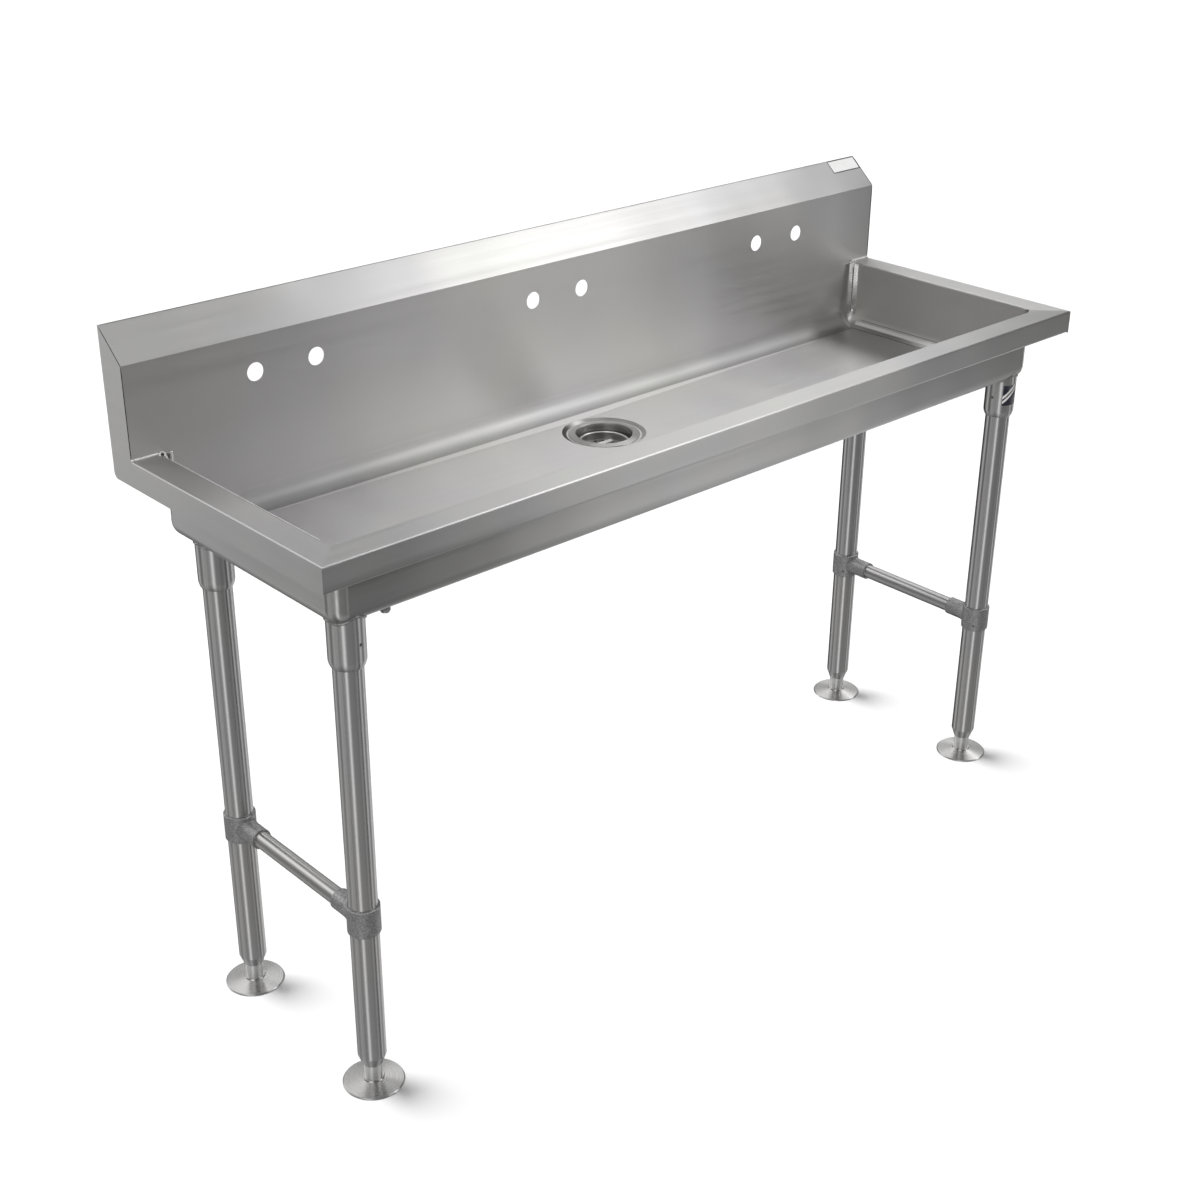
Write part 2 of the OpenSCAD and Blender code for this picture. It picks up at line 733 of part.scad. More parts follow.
// The basket: a perforated cup that hangs by its rolled rim on the ledge
module strainer_basket() {
  r = basket_d / 2;
  wire_r = basket_rim_d / 2;
  ring_r = r + basket_clear + wire_r;
  rim_mid_z = basket_seat_z + wire_r;
  color(bright_steel) translate([0, drain_y, 0]) difference() {
    rotate_extrude() {
      translate([ring_r, rim_mid_z]) circle(wire_r);
      strip([r - basket_t, rim_mid_z - basket_t / 2], [ring_r, rim_mid_z + basket_t / 2]);
      strip([r - basket_t, basket_z], [r, rim_mid_z]);
      strip([0, basket_z], [r, basket_z + basket_t]);
    }
    for (i = [0:outer_hole_count - 1]) rotate([0, 0, i * 360 / outer_hole_count])
      translate([r * outer_ring_share, 0, basket_z - overrun]) cylinder(d = strainer_hole_d, h = 2 * overrun);
    for (i = [0:inner_hole_count - 1]) rotate([0, 0, i * 360 / inner_hole_count])
      translate([r * inner_ring_share, 0, basket_z - overrun]) cylinder(d = strainer_hole_d, h = 2 * overrun);
  }
}

// The bar that lifts the basket, bent from one strip
module basket_lift_bar() {
  low = basket_z + basket_t;
  color(bright_steel) translate([0, drain_y, 0]) along_y(-bar_w / 2, bar_w / 2) {
    strip([-bar_l / 2 + bar_leg_w, low + bar_h - bar_t], [bar_l / 2 - bar_leg_w, low + bar_h]);
    for (side = [-1, 1]) {
      strip([side < 0 ? -bar_l / 2 + bar_leg_w : bar_l / 2 - bar_leg_w - bar_t, low],
            [side < 0 ? -bar_l / 2 + bar_leg_w + bar_t : bar_l / 2 - bar_leg_w, low + bar_h]);
      strip([side < 0 ? -bar_l / 2 : bar_l / 2 - bar_leg_w, low],
            [side < 0 ? -bar_l / 2 + bar_leg_w : bar_l / 2, low + bar_t]);
    }
  }
}

module basket_post() {
  color(bright_steel) translate([0, drain_y, stopper_z]) cylinder(d = post_d, h = basket_z - stopper_z);
}

module basket_stopper() {
  color(black_rubber) translate([0, drain_y, stopper_z - stopper_t]) cylinder(d = stopper_d, h = stopper_t);
}

back_sheet();
floor_sheet();
front_sheet();
mirror([1, 0, 0]) right_bowl_end();  // left_bowl_end
right_bowl_end();
mirror([1, 0, 0]) right_end_panel();  // left_end_panel
right_end_panel();
underside_stud();
leg_socket(0);  // socket_front_left
leg_socket(1);  // socket_front_right
leg_socket(2);  // socket_rear_left
leg_socket(3);  // socket_rear_right
socket_screws();
leg_tube(0);  // leg_front_left
leg_tube(1);  // leg_front_right
leg_tube(2);  // leg_rear_left
leg_tube(3);  // leg_rear_right
tee(0);  // tee_front_left
tee(1);  // tee_front_right
tee(2);  // tee_rear_left
tee(3);  // tee_rear_right
tee_screws();
cross_tube(-1);  // cross_tube_left
cross_tube(1);  // cross_tube_right
insert(0);  // insert_front_left
insert(1);  // insert_front_right
insert(2);  // insert_rear_left
insert(3);  // insert_rear_right
foot_stem(0);  // foot_stem_front_left
foot_stem(1);  // foot_stem_front_right
foot_stem(2);  // foot_stem_rear_left
foot_stem(3);  // foot_stem_rear_right
foot_plate(0);  // foot_plate_front_left
foot_plate(1);  // foot_plate_front_right
foot_plate(2);  // foot_plate_rear_left
foot_plate(3);  // foot_plate_rear_right
strainer_body();
outlet_stub();
drain_gasket();
drain_washer();
drain_locknut();
strainer_basket();
basket_lift_bar();
basket_post();
basket_stopper();
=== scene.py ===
# %% [markdown]
# # A three-station hand sink in brushed stainless steel
#
# The real sink is a long shallow bowl bent and welded from steel sheet, on four tube legs with cast tees,
# cross tubes and screw feet. The exact shapes come from CAD as a fixed frame. This lesson dresses that
# frame: it gives every part its finish, adds the small things that CAD leaves out, and sets the sink on a
# pale floor in soft studio light.

# %% The frame from CAD
import math

import bmesh
import bpy
from mathutils import Matrix, Vector


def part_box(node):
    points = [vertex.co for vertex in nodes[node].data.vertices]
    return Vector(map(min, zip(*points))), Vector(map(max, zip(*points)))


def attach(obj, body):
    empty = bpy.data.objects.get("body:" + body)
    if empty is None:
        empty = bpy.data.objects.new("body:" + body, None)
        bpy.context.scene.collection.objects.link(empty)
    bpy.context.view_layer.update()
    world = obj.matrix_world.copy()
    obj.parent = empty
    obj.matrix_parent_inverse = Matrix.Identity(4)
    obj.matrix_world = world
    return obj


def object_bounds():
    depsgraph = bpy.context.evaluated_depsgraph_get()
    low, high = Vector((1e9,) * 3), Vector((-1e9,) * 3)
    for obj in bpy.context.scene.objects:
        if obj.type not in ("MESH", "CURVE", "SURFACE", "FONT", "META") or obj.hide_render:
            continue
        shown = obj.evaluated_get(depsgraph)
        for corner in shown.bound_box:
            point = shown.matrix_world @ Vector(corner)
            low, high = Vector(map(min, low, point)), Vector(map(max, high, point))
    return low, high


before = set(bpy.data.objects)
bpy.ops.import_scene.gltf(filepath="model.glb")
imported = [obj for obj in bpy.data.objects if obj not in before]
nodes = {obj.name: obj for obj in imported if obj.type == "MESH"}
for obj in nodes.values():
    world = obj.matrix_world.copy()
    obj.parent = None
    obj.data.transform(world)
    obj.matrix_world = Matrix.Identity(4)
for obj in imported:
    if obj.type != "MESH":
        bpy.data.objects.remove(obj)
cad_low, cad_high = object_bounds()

print("CAD nodes:", len(nodes), "box from", [round(v, 4) for v in cad_low], "to", [round(v, 4) for v in cad_high])

# %% [markdown]
# ## Places on the sheets
#
# The small pieces lie on the sheets, so they need to know where these are. The box of the frame gives the
# sink's ends, its rear and its top. The other places follow from those by the sheets' own sizes.

# %% Places on the sheets
SPLASH_H = 0.1778
RIM_W = 0.04445
RETURN_D = 0.0508
RETURN_H = 0.04445
BOWL_H = 0.117
COVE_R = 0.020
SHEET_T = 0.0015

END_X = cad_high[0]
RIM_TOP = cad_high[2] - SPLASH_H
BOWL_END_X = END_X - RIM_W
FRONT_IN_Y = cad_low[1] + RIM_W
FLOOR_TOP = RIM_TOP - BOWL_H
SPLASH_FACE = cad_high[1] - RETURN_D
SLOPE_FOOT = Vector((0.0, SPLASH_FACE, cad_high[2] - RETURN_H))
SLOPE_TOP = Vector((0.0, cad_high[1], cad_high[2]))
SIDES = ((-1.0, "left"), (1.0, "right"))
print("rim", round(RIM_TOP, 4), "floor", round(FLOOR_TOP, 4), "splash face", round(SPLASH_FACE, 4))

# %% [markdown]
# ## The camera
#
# The photograph was taken from the left front, a little above the splash. Its place could be guessed by
# eye, or worked out from the picture. Here it was worked out: known corners of the sink were matched to
# their places in the picture, which gives the camera's place, its turn and its lens. The rotation is built
# from three directions, so nothing has to be aimed.

# %% Camera
PHOTO_SIDE = 1200
SENSOR_MM = 36.0
CAMERA_PLACE = Vector((-1.81978, -1.87487, 1.77176))
CAMERA_YAW = math.radians(42.56)
CAMERA_PITCH = math.radians(-26.35)
CAMERA_ROLL = math.radians(0.36)
FOCAL_PIXELS = 1801.2
CENTRE_PIXEL_X = 594.6
CAMERA_SEES_TO = 200.0

flat = math.cos(CAMERA_PITCH)
ahead = Vector((math.sin(CAMERA_YAW) * flat, math.cos(CAMERA_YAW) * flat, math.sin(CAMERA_PITCH)))
level = Vector((math.cos(CAMERA_YAW), -math.sin(CAMERA_YAW), 0.0))
upward = level.cross(ahead)
camera_right = level * math.cos(CAMERA_ROLL) + upward * math.sin(CAMERA_ROLL)
camera_up = upward * math.cos(CAMERA_ROLL) - level * math.sin(CAMERA_ROLL)

camera_data = bpy.data.cameras.new("photo_camera")
camera_data.sensor_width = SENSOR_MM
camera_data.lens = FOCAL_PIXELS / PHOTO_SIDE * SENSOR_MM
camera_data.shift_x = (PHOTO_SIDE / 2 - CENTRE_PIXEL_X) / PHOTO_SIDE
camera_data.clip_end = CAMERA_SEES_TO
camera = bpy.data.objects.new("photo_camera", camera_data)
camera_turn = Matrix((camera_right, camera_up, -ahead)).transposed().to_4x4()
camera.matrix_world = Matrix.Translation(CAMERA_PLACE) @ camera_turn
bpy.context.scene.collection.objects.link(camera)
bpy.context.scene.camera = camera
bpy.context.scene.view_settings.view_transform = "Standard"
print("lens", round(camera_data.lens, 2), "mm")

# %% [markdown]
# ## The floor
#
# The sink stands in a white studio. A large flat sheet with a matt white finish does for the floor. Steel
# mirrors what lies round it, and in the picture it mirrors a dim room and not the white paper, so glossy
# rays pass through this floor.

# %% Floor
FLOOR_HALF = 60.0
FLOOR_COLOUR = (0.55, 0.55, 0.55, 1.0)

floor_mesh = bpy.data.meshes.new("studio_floor")
floor_bm = bmesh.new()
bmesh.ops.create_grid(floor_bm, x_segments=1, y_segments=1, size=FLOOR_HALF)
floor_bm.to_mesh(floor_mesh)
floor_bm.free()
floor = bpy.data.objects.new("studio_floor", floor_mesh)
bpy.context.scene.collection.objects.link(floor)
floor.visible_glossy = False

floor_paint = bpy.data.materials.new("studio_white")
floor_paint.use_nodes = True
floor_shader = floor_paint.node_tree.nodes["Principled BSDF"]
floor_shader.inputs["Base Color"].default_value = FLOOR_COLOUR
floor_shader.inputs["Roughness"].default_value = 1.0
floor_shader.inputs["Specular IOR Level"].default_value = 0.0
floor_mesh.materials.append(floor_paint)

# %% [markdown]
# ## The studio light
#
# Brushed steel shows what it mirrors, drawn out across the brushing. So the light is a room of large soft
# panels. A panel is one bright patch of the room, with soft edges: its middle along the sink's length, its
# middle in a turn round the sink (0 is behind, 90 is overhead, 180 is in front), and how far it reaches
# each way. Lamps of the same shapes could do this too, but panels that are painted on the room need no
# aiming and make no noise. The camera itself sees white.

# %% Room helpers
world = bpy.data.worlds.new("studio_room")
world.use_nodes = True
bpy.context.scene.world = world
room = world.node_tree
room.nodes.clear()


def room_node(kind, *sources, **values):
    """A node of the room, fed by the sources in their order."""
    made = room.nodes.new(kind)
    for name, value in values.items():
        setattr(made, name, value)
    for place, source in enumerate(sources):
        if isinstance(source, (int, float, tuple)):
            made.inputs[place].default_value = source
        else:
            room.links.new(source, made.inputs[place])
    return made.outputs[0]


def fade(distance, reach):
    """1 where the distance is 0, falling smoothly to 0 at the reach."""
    return room_node("ShaderNodeMapRange", distance, 0.0, reach, 1.0, 0.0, interpolation_type="SMOOTHSTEP")


def distance_from(source, middle):
    """How far a value lies from the middle."""
    gap = room_node("ShaderNodeMath", source, middle, operation="SUBTRACT")
    return room_node("ShaderNodeMath", gap, operation="ABSOLUTE")


def direction_of(*parts):
    """The direction with these parts, at length 1."""
    return room_node("ShaderNodeVectorMath", room_node("ShaderNodeCombineXYZ", *parts), operation="NORMALIZE")


def turned_from(flat_direction, toward):
    """The angle between two directions."""
    made = room.nodes.new("ShaderNodeVectorMath")
    made.operation = "DOT_PRODUCT"
    room.links.new(flat_direction, made.inputs[0])
    made.inputs[1].default_value = toward
    return room_node("ShaderNodeMath", made.outputs["Value"], operation="ARCCOSINE")


split_look = room.nodes.new("ShaderNodeSeparateXYZ")
room.links.new(room_node("ShaderNodeTexCoord"), split_look.inputs[0])
look_x, look_y, look_z = split_look.outputs
round_sink = direction_of(0.0, look_y, look_z)
round_compass = direction_of(look_x, look_y, 0.0)

# %% Room
PANELS = (
    # middle along the sink, reach, turn round the sink, reach, brightness
    (-0.8, 0.4, 135.0, 45.0, 2.73),
    (-0.4, 0.4, 20.0, 50.0, 1.49),
    (-0.4, 0.4, 60.0, 50.0, 1.98),
    (-0.4, 0.4, 225.0, 60.0, 0.52),
    (-0.4, 0.4, 315.0, 60.0, 0.57),
    (0.0, 0.4, 225.0, 60.0, 0.5),
    (0.34, 0.2, 60.0, 50.0, 2.45),
    (0.34, 0.2, 135.0, 45.0, 1.81),
    (0.34, 0.2, 225.0, 60.0, 0.59),
    (0.58, 0.12, 60.0, 50.0, 1.44),
    (0.58, 0.12, 135.0, 45.0, 4.0),
    (0.66, 0.12, 60.0, 50.0, 0.85),
    (0.66, 0.12, 97.0, 45.0, 2.4),
    (0.66, 0.12, 135.0, 45.0, 1.82),
    (0.66, 0.12, 180.0, 50.0, 0.74),
    (0.66, 0.12, 225.0, 60.0, 0.86),
    (0.74, 0.12, 20.0, 50.0, 0.76),
    (0.74, 0.12, 60.0, 50.0, 1.49),
    (0.74, 0.12, 225.0, 60.0, 0.23),
    (0.74, 0.12, 315.0, 60.0, 1.71),
    (0.05, 0.20, 60.0, 50.0, 2.20),
    (0.52, 0.20, 300.0, 42.0, 1.20),
    (-0.15, 0.38, 100.0, 62.0, 0.90),
)
POSTS = (
    # compass direction, reach, brightness
    (-180.0, 12.0, 0.85),
    (-162.0, 12.0, 0.55),
    (-140.0, 17.0, 1.85),
    (-30.0, 14.0, 0.25),
    (0.0, 20.0, 1.45),
    (115.0, 20.0, 0.40),
    (160.0, 20.0, 0.95),
)
POST_TILT = -25.0
POST_TILT_REACH = 40.0

brightness = 0.0
for x_middle, x_reach, turn, turn_reach, power in PANELS:
    off_x = distance_from(look_x, x_middle)
    angle = math.radians(turn)
    off_turn = turned_from(round_sink, (0.0, math.cos(angle), math.sin(angle)))
    turn_fade = fade(off_turn, math.radians(turn_reach))
    patch = room_node("ShaderNodeMath", fade(off_x, x_reach), turn_fade, operation="MULTIPLY")
    brightness = room_node("ShaderNodeMath", patch, power, brightness, operation="MULTIPLY_ADD")
tilt = room_node("ShaderNodeMath", look_z, operation="ARCSINE")
post_height = fade(distance_from(tilt, math.radians(POST_TILT)), math.radians(POST_TILT_REACH))
for compass, reach, power in POSTS:
    angle = math.radians(compass)
    off_compass = turned_from(round_compass, (math.cos(angle), math.sin(angle), 0.0))
    patch = room_node("ShaderNodeMath", fade(off_compass, math.radians(reach)), post_height, operation="MULTIPLY")
    brightness = room_node("ShaderNodeMath", patch, power, brightness, operation="MULTIPLY_ADD")

glow = room.nodes.new("ShaderNodeBackground")
room.links.new(brightness, glow.inputs["Strength"])
white = room.nodes.new("ShaderNodeBackground")
white.inputs["Color"].default_value = (1.0, 1.0, 1.0, 1.0)
seen = room.nodes.new("ShaderNodeLightPath")
pick = room.nodes.new("ShaderNodeMixShader")
room.links.new(seen.outputs["Is Camera Ray"], pick.inputs["Fac"])
room.links.new(glow.outputs["Background"], pick.inputs[1])
room.links.new(white.outputs["Background"], pick.inputs[2])
room_out = room.nodes.new("ShaderNodeOutputWorld")
room.links.new(pick.outputs["Shader"], room_out.inputs["Surface"])
print("panels:", len(PANELS), "posts:", len(POSTS))

# %% [markdown]
# ## The shadow lamp
#
# The feet stand in short soft shadows that fall towards the front. One distant, wide lamp behind the sink
# makes them. It isn't mirrored in the steel, and only the feet block it, so that the long body leaves the
# white floor clean.

# %% Shadow lamp
LAMP_FROM = Vector((-0.35, 1.0, 1.25))
LAMP_SPREAD = math.radians(34.0)
LAMP_POWER = 5.4
SHADOW_MAKERS = ("foot_plate", "foot_stem", "insert")

lamp_data = bpy.data.lights.new("shadow_lamp", "SUN")
lamp_data.angle = LAMP_SPREAD
lamp_data.energy = LAMP_POWER
lamp = bpy.data.objects.new("shadow_lamp", lamp_data)
lamp.rotation_euler = LAMP_FROM.to_track_quat("Z", "Y").to_euler()
lamp.visible_glossy = False
bpy.context.scene.collection.objects.link(lamp)
blockers = bpy.data.collections.new("shadow_makers")
for name, part in nodes.items():
    if name.startswith(SHADOW_MAKERS):
        blockers.objects.link(part)
lamp.light_linking.blocker_collection = blockers

# %% [markdown]
# ## Node helpers
#
# A finish is a small graph of nodes. Short helpers make and join nodes, so that each finish below reads as
# a list of what is done to the surface.

# %% Node helpers
def new_finish(name, colour, roughness, metallic=1.0):
    """A material whose shader has these even values."""
    made = bpy.data.materials.new(name)
    made.use_nodes = True
    shader = made.node_tree.nodes["Principled BSDF"]
    shader.inputs["Base Color"].default_value = (*colour, 1.0)
    shader.inputs["Roughness"].default_value = roughness
    shader.inputs["Metallic"].default_value = metallic
    return made, shader


def add_node(finish, kind, **values):
    """A node in a finish, with its settings and inputs."""
    made = finish.node_tree.nodes.new(kind)
    for name, value in values.items():
        if hasattr(made, name):
            setattr(made, name, value)
        else:
            made.inputs[name.replace("_", " ")].default_value = value
    return made


def join(finish, source, target):
    """A link in a finish, from an output to an input."""
    finish.node_tree.links.new(source, target)


def streaks(finish, scale, detail=3.0):
    """Noise drawn out into streaks by an uneven scale, in cycles per metre along x, y and z."""
    place = add_node(finish, "ShaderNodeTexCoord")
    stretch = add_node(finish, "ShaderNodeMapping", Scale=scale)
    grain = add_node(finish, "ShaderNodeTexNoise", Scale=1.0, Detail=detail, Roughness=0.6)
    join(finish, place.outputs["Object"], stretch.inputs["Vector"])
    join(finish, stretch.outputs["Vector"], grain.inputs["Vector"])
    return grain


def ranged(finish, source, low, high, start=0.3, end=0.7):
    """The source's values from start to end, turned into low to high."""
    made = add_node(finish, "ShaderNodeMapRange")
    for name, value in (("From Min", start), ("From Max", end), ("To Min", low), ("To Max", high)):
        made.inputs[name].default_value = value
    join(finish, source, made.inputs["Value"])
    return made.outputs["Result"]


def worn(name, colour, roughness, metallic=1.0, grain=300.0, unevenness=0.15):
    """A plain finish made uneven: fine noise shifts its colour and its roughness a little up and down."""
    finish, shader = new_finish(name, colour, roughness, metallic)
    noise = streaks(finish, (grain, grain, grain))
    tone = add_node(finish, "ShaderNodeValToRGB")
    tone.color_ramp.elements[0].position = 0.35
    tone.color_ramp.elements[0].color = (*(part * (1.0 - unevenness) for part in colour), 1.0)
    tone.color_ramp.elements[1].position = 0.65
    tone.color_ramp.elements[1].color = (*(min(1.0, part * (1.0 + unevenness)) for part in colour), 1.0)
    join(finish, noise.outputs["Fac"], tone.inputs["Fac"])
    join(finish, tone.outputs["Color"], shader.inputs["Base Color"])
    rough = ranged(finish, noise.outputs["Fac"], roughness * 0.85, min(1.0, roughness * 1.15))
    join(finish, rough, shader.inputs["Roughness"])
    return finish


# %% [markdown]
# ## Brushed sheet
#
# The sheets come from the mill with a fine straight brushing along their length. Under a softbox such a
# surface smears the light across the brushing. That could be done with thousands of modelled scratches, but
# the shader has a value for it, the anisotropy, and a direction, the tangent. Fine streaks in the roughness
# and a slight bump give the grain itself. Thin sheet is never quite flat, so a second bump, wide and very
# low, makes the reflections sway a little. Its colour isn't quite even either: it drifts between a cooler
# and a warmer grey.

# %% Brushed sheet
STEEL = (0.60, 0.595, 0.589)
COOL_STEEL = (0.592, 0.584, 0.590, 1.0)
WARM_STEEL = (0.606, 0.604, 0.588, 1.0)
SHEET_SWAY = 0.9
SWAY_DEPTH = 0.002
SCRATCH_DEPTH = 0.0002
SWAY_SCALE = (5.0, 5.0, 1.5)
DRIFT_SCALE = (4.0, 4.0, 4.0)
QUARTER_TURN = 0.25
SHEET_ROUGHNESS = 0.36
ALONG_STRETCH, ACROSS_STRETCH = 0.92, 0.85
# grain in cycles per metre: across the named axis, and along it
STRAIGHT_GRAIN = (900.0, 7.0)
RING_GRAIN = (12.0, 2200.0)


def brushed_steel(name, brushing, roughness, anisotropy, colour=STEEL, ring_axis="",
                  scratch=0.12, uneven=0.12, metallic=1.0):
    """Steel brushed along x, y or z, or in rings round that axis."""
    finish, shader = new_finish(name, colour, roughness, metallic)
    across, along = RING_GRAIN if ring_axis else STRAIGHT_GRAIN
    fine = [along if axis == brushing else across for axis in "xyz"]
    coarse = [step / 10.0 for step in fine]
    if colour == STEEL:
        drift = streaks(finish, DRIFT_SCALE, 1.0)
        tint = add_node(finish, "ShaderNodeValToRGB")
        cool, warm = tint.color_ramp.elements
        cool.position, warm.position = 0.38, 0.62
        cool.color, warm.color = COOL_STEEL, WARM_STEEL
        join(finish, drift.outputs["Fac"], tint.inputs["Fac"])
        join(finish, tint.outputs["Color"], shader.inputs["Base Color"])
    scratches = streaks(finish, fine)
    bands = streaks(finish, coarse, 2.0)
    both = add_node(finish, "ShaderNodeMath", operation="ADD")
    join(finish, scratches.outputs["Fac"], both.inputs[0])
    join(finish, bands.outputs["Fac"], both.inputs[1])
    low, high = roughness * (1.0 - uneven), roughness * (1.0 + uneven)
    join(finish, ranged(finish, both.outputs["Value"], low, high, 0.7, 1.3), shader.inputs["Roughness"])
    bump = add_node(finish, "ShaderNodeBump", Strength=scratch, Distance=SCRATCH_DEPTH)
    join(finish, scratches.outputs["Fac"], bump.inputs["Height"])
    if not ring_axis:
        waves = streaks(finish, SWAY_SCALE, 1.0)
        sway = add_node(finish, "ShaderNodeBump", Strength=SHEET_SWAY, Distance=SWAY_DEPTH)
        join(finish, waves.outputs["Fac"], sway.inputs["Height"])
        join(finish, sway.outputs["Normal"], bump.inputs["Normal"])
    join(finish, bump.outputs["Normal"], shader.inputs["Normal"])
    if ring_axis:
        line = add_node(finish, "ShaderNodeTangent", direction_type="RADIAL", axis=ring_axis)
    else:
        line = add_node(finish, "ShaderNodeCombineXYZ", **{brushing.upper(): 1.0})
    join(finish, line.outputs[0], shader.inputs["Tangent"])
    shader.inputs["Anisotropic"].default_value = anisotropy
    shader.inputs["Anisotropic Rotation"].default_value = QUARTER_TURN
    return finish


sheet_along = brushed_steel("sheet_brushed_along_the_sink", "x", SHEET_ROUGHNESS, ALONG_STRETCH)
sheet_across = brushed_steel("sheet_brushed_front_to_back", "y", SHEET_ROUGHNESS, ACROSS_STRETCH)

# %% [markdown]
# ## Rear cove
#
# The cove is the rounded foot of the splash. With the flat sheet's finish it came out brighter here than in
# the picture, because it mirrors the same panels as the slope above. The panels could be dimmed, but the
# slope needs them. So the finish is the flat sheet's own, with painted shade over the cove, from a little
# above it, that darkens its colour until its tones fit. This is only a fit of the tones: whether the real
# cove has a duller finish isn't known.

# %% Rear cove
COVE_SHADE = 0.66
COVE_START_Z = 0.775
COVE_DEEP_Z = 0.764
sheet_coved = brushed_steel("sheet_with_painted_cove_shade", "x", SHEET_ROUGHNESS, ALONG_STRETCH)
steel_shader = sheet_coved.node_tree.nodes["Principled BSDF"]
flat_colour = steel_shader.inputs["Base Color"].links[0].from_socket
place = add_node(sheet_coved, "ShaderNodeTexCoord")
heights = add_node(sheet_coved, "ShaderNodeSeparateXYZ")
join(sheet_coved, place.outputs["Object"], heights.inputs[0])
shaded = add_node(sheet_coved, "ShaderNodeVectorMath", operation="SCALE")
join(sheet_coved, flat_colour, shaded.inputs[0])
# Painted shade: the colour is scaled darker over the cove and a little above it.
shade = ranged(sheet_coved, heights.outputs["Z"], COVE_SHADE, 1.0, COVE_DEEP_Z, COVE_START_Z)
join(sheet_coved, shade, shaded.inputs["Scale"])
join(sheet_coved, shaded.outputs["Vector"], steel_shader.inputs["Base Color"])
print("cove darkened below", COVE_DEEP_Z, "m")

# %% [markdown]
# ## Tubes, feet, castings and drain
#
# Tubes are belt-ground round and round, so their shine runs up and down the tube. Foot plates are turned on
# a lathe, which leaves rings, so their shine is a pair of wedges. The tees are cast and tumbled: grey,
# rough and a little grainy. The drain is turned too. Its cup gets painted shade below the flange, and the
# basket a painted highlight on its top edge over painted shade below.

# %% Tubes and foot stems
tube_upright = brushed_steel("leg_tube_ground_round", "z", 0.33, 0.86, ring_axis="Z", scratch=0.004, uneven=0.04)
tube_level = brushed_steel("cross_tube_ground_round", "y", 0.33, 0.86, ring_axis="Y", scratch=0.004, uneven=0.04)
stem_turned = brushed_steel("foot_stem_turned", "z", 0.46, 0.6, (0.80, 0.795, 0.79), "Z", 0.01, 0.05, metallic=0.78)

# %% Foot plates
turned_plate, shader = new_finish("foot_plate_turned", (0.62, 0.615, 0.61), 0.32)
place = add_node(turned_plate, "ShaderNodeTexCoord")
centred = add_node(turned_plate, "ShaderNodeVectorMath", operation="SUBTRACT")
join(turned_plate, place.outputs["Generated"], centred.inputs[0])
centred.inputs[1].default_value = (0.5, 0.5, 0.0)
flat_only = add_node(turned_plate, "ShaderNodeVectorMath", operation="MULTIPLY")
join(turned_plate, centred.outputs["Vector"], flat_only.inputs[0])
flat_only.inputs[1].default_value = (1.0, 1.0, 0.0)
radius_out = add_node(turned_plate, "ShaderNodeVectorMath", operation="LENGTH")
join(turned_plate, flat_only.outputs["Vector"], radius_out.inputs[0])
rings = add_node(turned_plate, "ShaderNodeTexNoise", noise_dimensions="1D", Scale=60.0, Detail=3.0)
join(turned_plate, radius_out.outputs["Value"], rings.inputs["W"])
join(turned_plate, ranged(turned_plate, rings.outputs["Fac"], 0.25, 0.42), shader.inputs["Roughness"])
round_line = add_node(turned_plate, "ShaderNodeTangent", direction_type="RADIAL", axis="Z")
join(turned_plate, round_line.outputs["Tangent"], shader.inputs["Tangent"])
shader.inputs["Anisotropic"].default_value = 0.85
shader.inputs["Anisotropic Rotation"].default_value = QUARTER_TURN

# %% Tees
cast_grey, shader = new_finish("tee_cast", (0.46, 0.455, 0.45), 0.55)
pits = streaks(cast_grey, (420.0, 420.0, 420.0), 4.0)
mottle = add_node(cast_grey, "ShaderNodeValToRGB")
mottle.color_ramp.elements[0].position = 0.38
mottle.color_ramp.elements[0].color = (0.36, 0.355, 0.36, 1.0)
mottle.color_ramp.elements[1].position = 0.62
mottle.color_ramp.elements[1].color = (0.60, 0.595, 0.60, 1.0)
join(cast_grey, pits.outputs["Fac"], mottle.inputs["Fac"])
join(cast_grey, mottle.outputs["Color"], shader.inputs["Base Color"])
bump = add_node(cast_grey, "ShaderNodeBump", Strength=0.7, Distance=0.0008)
join(cast_grey, pits.outputs["Fac"], bump.inputs["Height"])
join(cast_grey, bump.outputs["Normal"], shader.inputs["Normal"])


# %% Drain
def toned_by_height(finish, dark_z, light_z, dark, light):
    """Gives a finish one colour below a height and another above it."""
    place = add_node(finish, "ShaderNodeTexCoord")
    heights = add_node(finish, "ShaderNodeSeparateXYZ")
    join(finish, place.outputs["Object"], heights.inputs[0])
    tone = add_node(finish, "ShaderNodeValToRGB")
    tone.color_ramp.elements[0].color = (*dark, 1.0)
    tone.color_ramp.elements[1].color = (*light, 1.0)
    join(finish, ranged(finish, heights.outputs["Z"], 0.0, 1.0, dark_z, light_z), tone.inputs["Fac"])
    join(finish, tone.outputs["Color"], finish.node_tree.nodes["Principled BSDF"].inputs["Base Color"])


# Painted shade inside the drain's cup and basket below their top edges, and a painted highlight on the basket's top
# edge.
DRAIN_PAINTED_SHADE = (0.36, 0.355, 0.35)
BASKET_EDGE_PAINTED_HIGHLIGHT = (0.92, 0.915, 0.91)
CUP_DARK_DEPTH, CUP_LIGHT_DEPTH = 0.007, 0.003
BASKET_DARK_DEPTH, BASKET_LIGHT_DEPTH = 0.0016, 0.0008
drain_turned = brushed_steel("drain_turned", "z", 0.34, 0.7, ring_axis="Z", scratch=0.05, uneven=0.2)
flange_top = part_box("strainer_body")[1][2]
toned_by_height(drain_turned, flange_top - CUP_DARK_DEPTH, flange_top - CUP_LIGHT_DEPTH, DRAIN_PAINTED_SHADE, STEEL)
basket_pressed = brushed_steel("basket_pressed", "z", 0.30, 0.5, ring_axis="Z", scratch=0.06, uneven=0.25,
                               metallic=0.85)
basket_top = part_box("strainer_basket")[1][2]
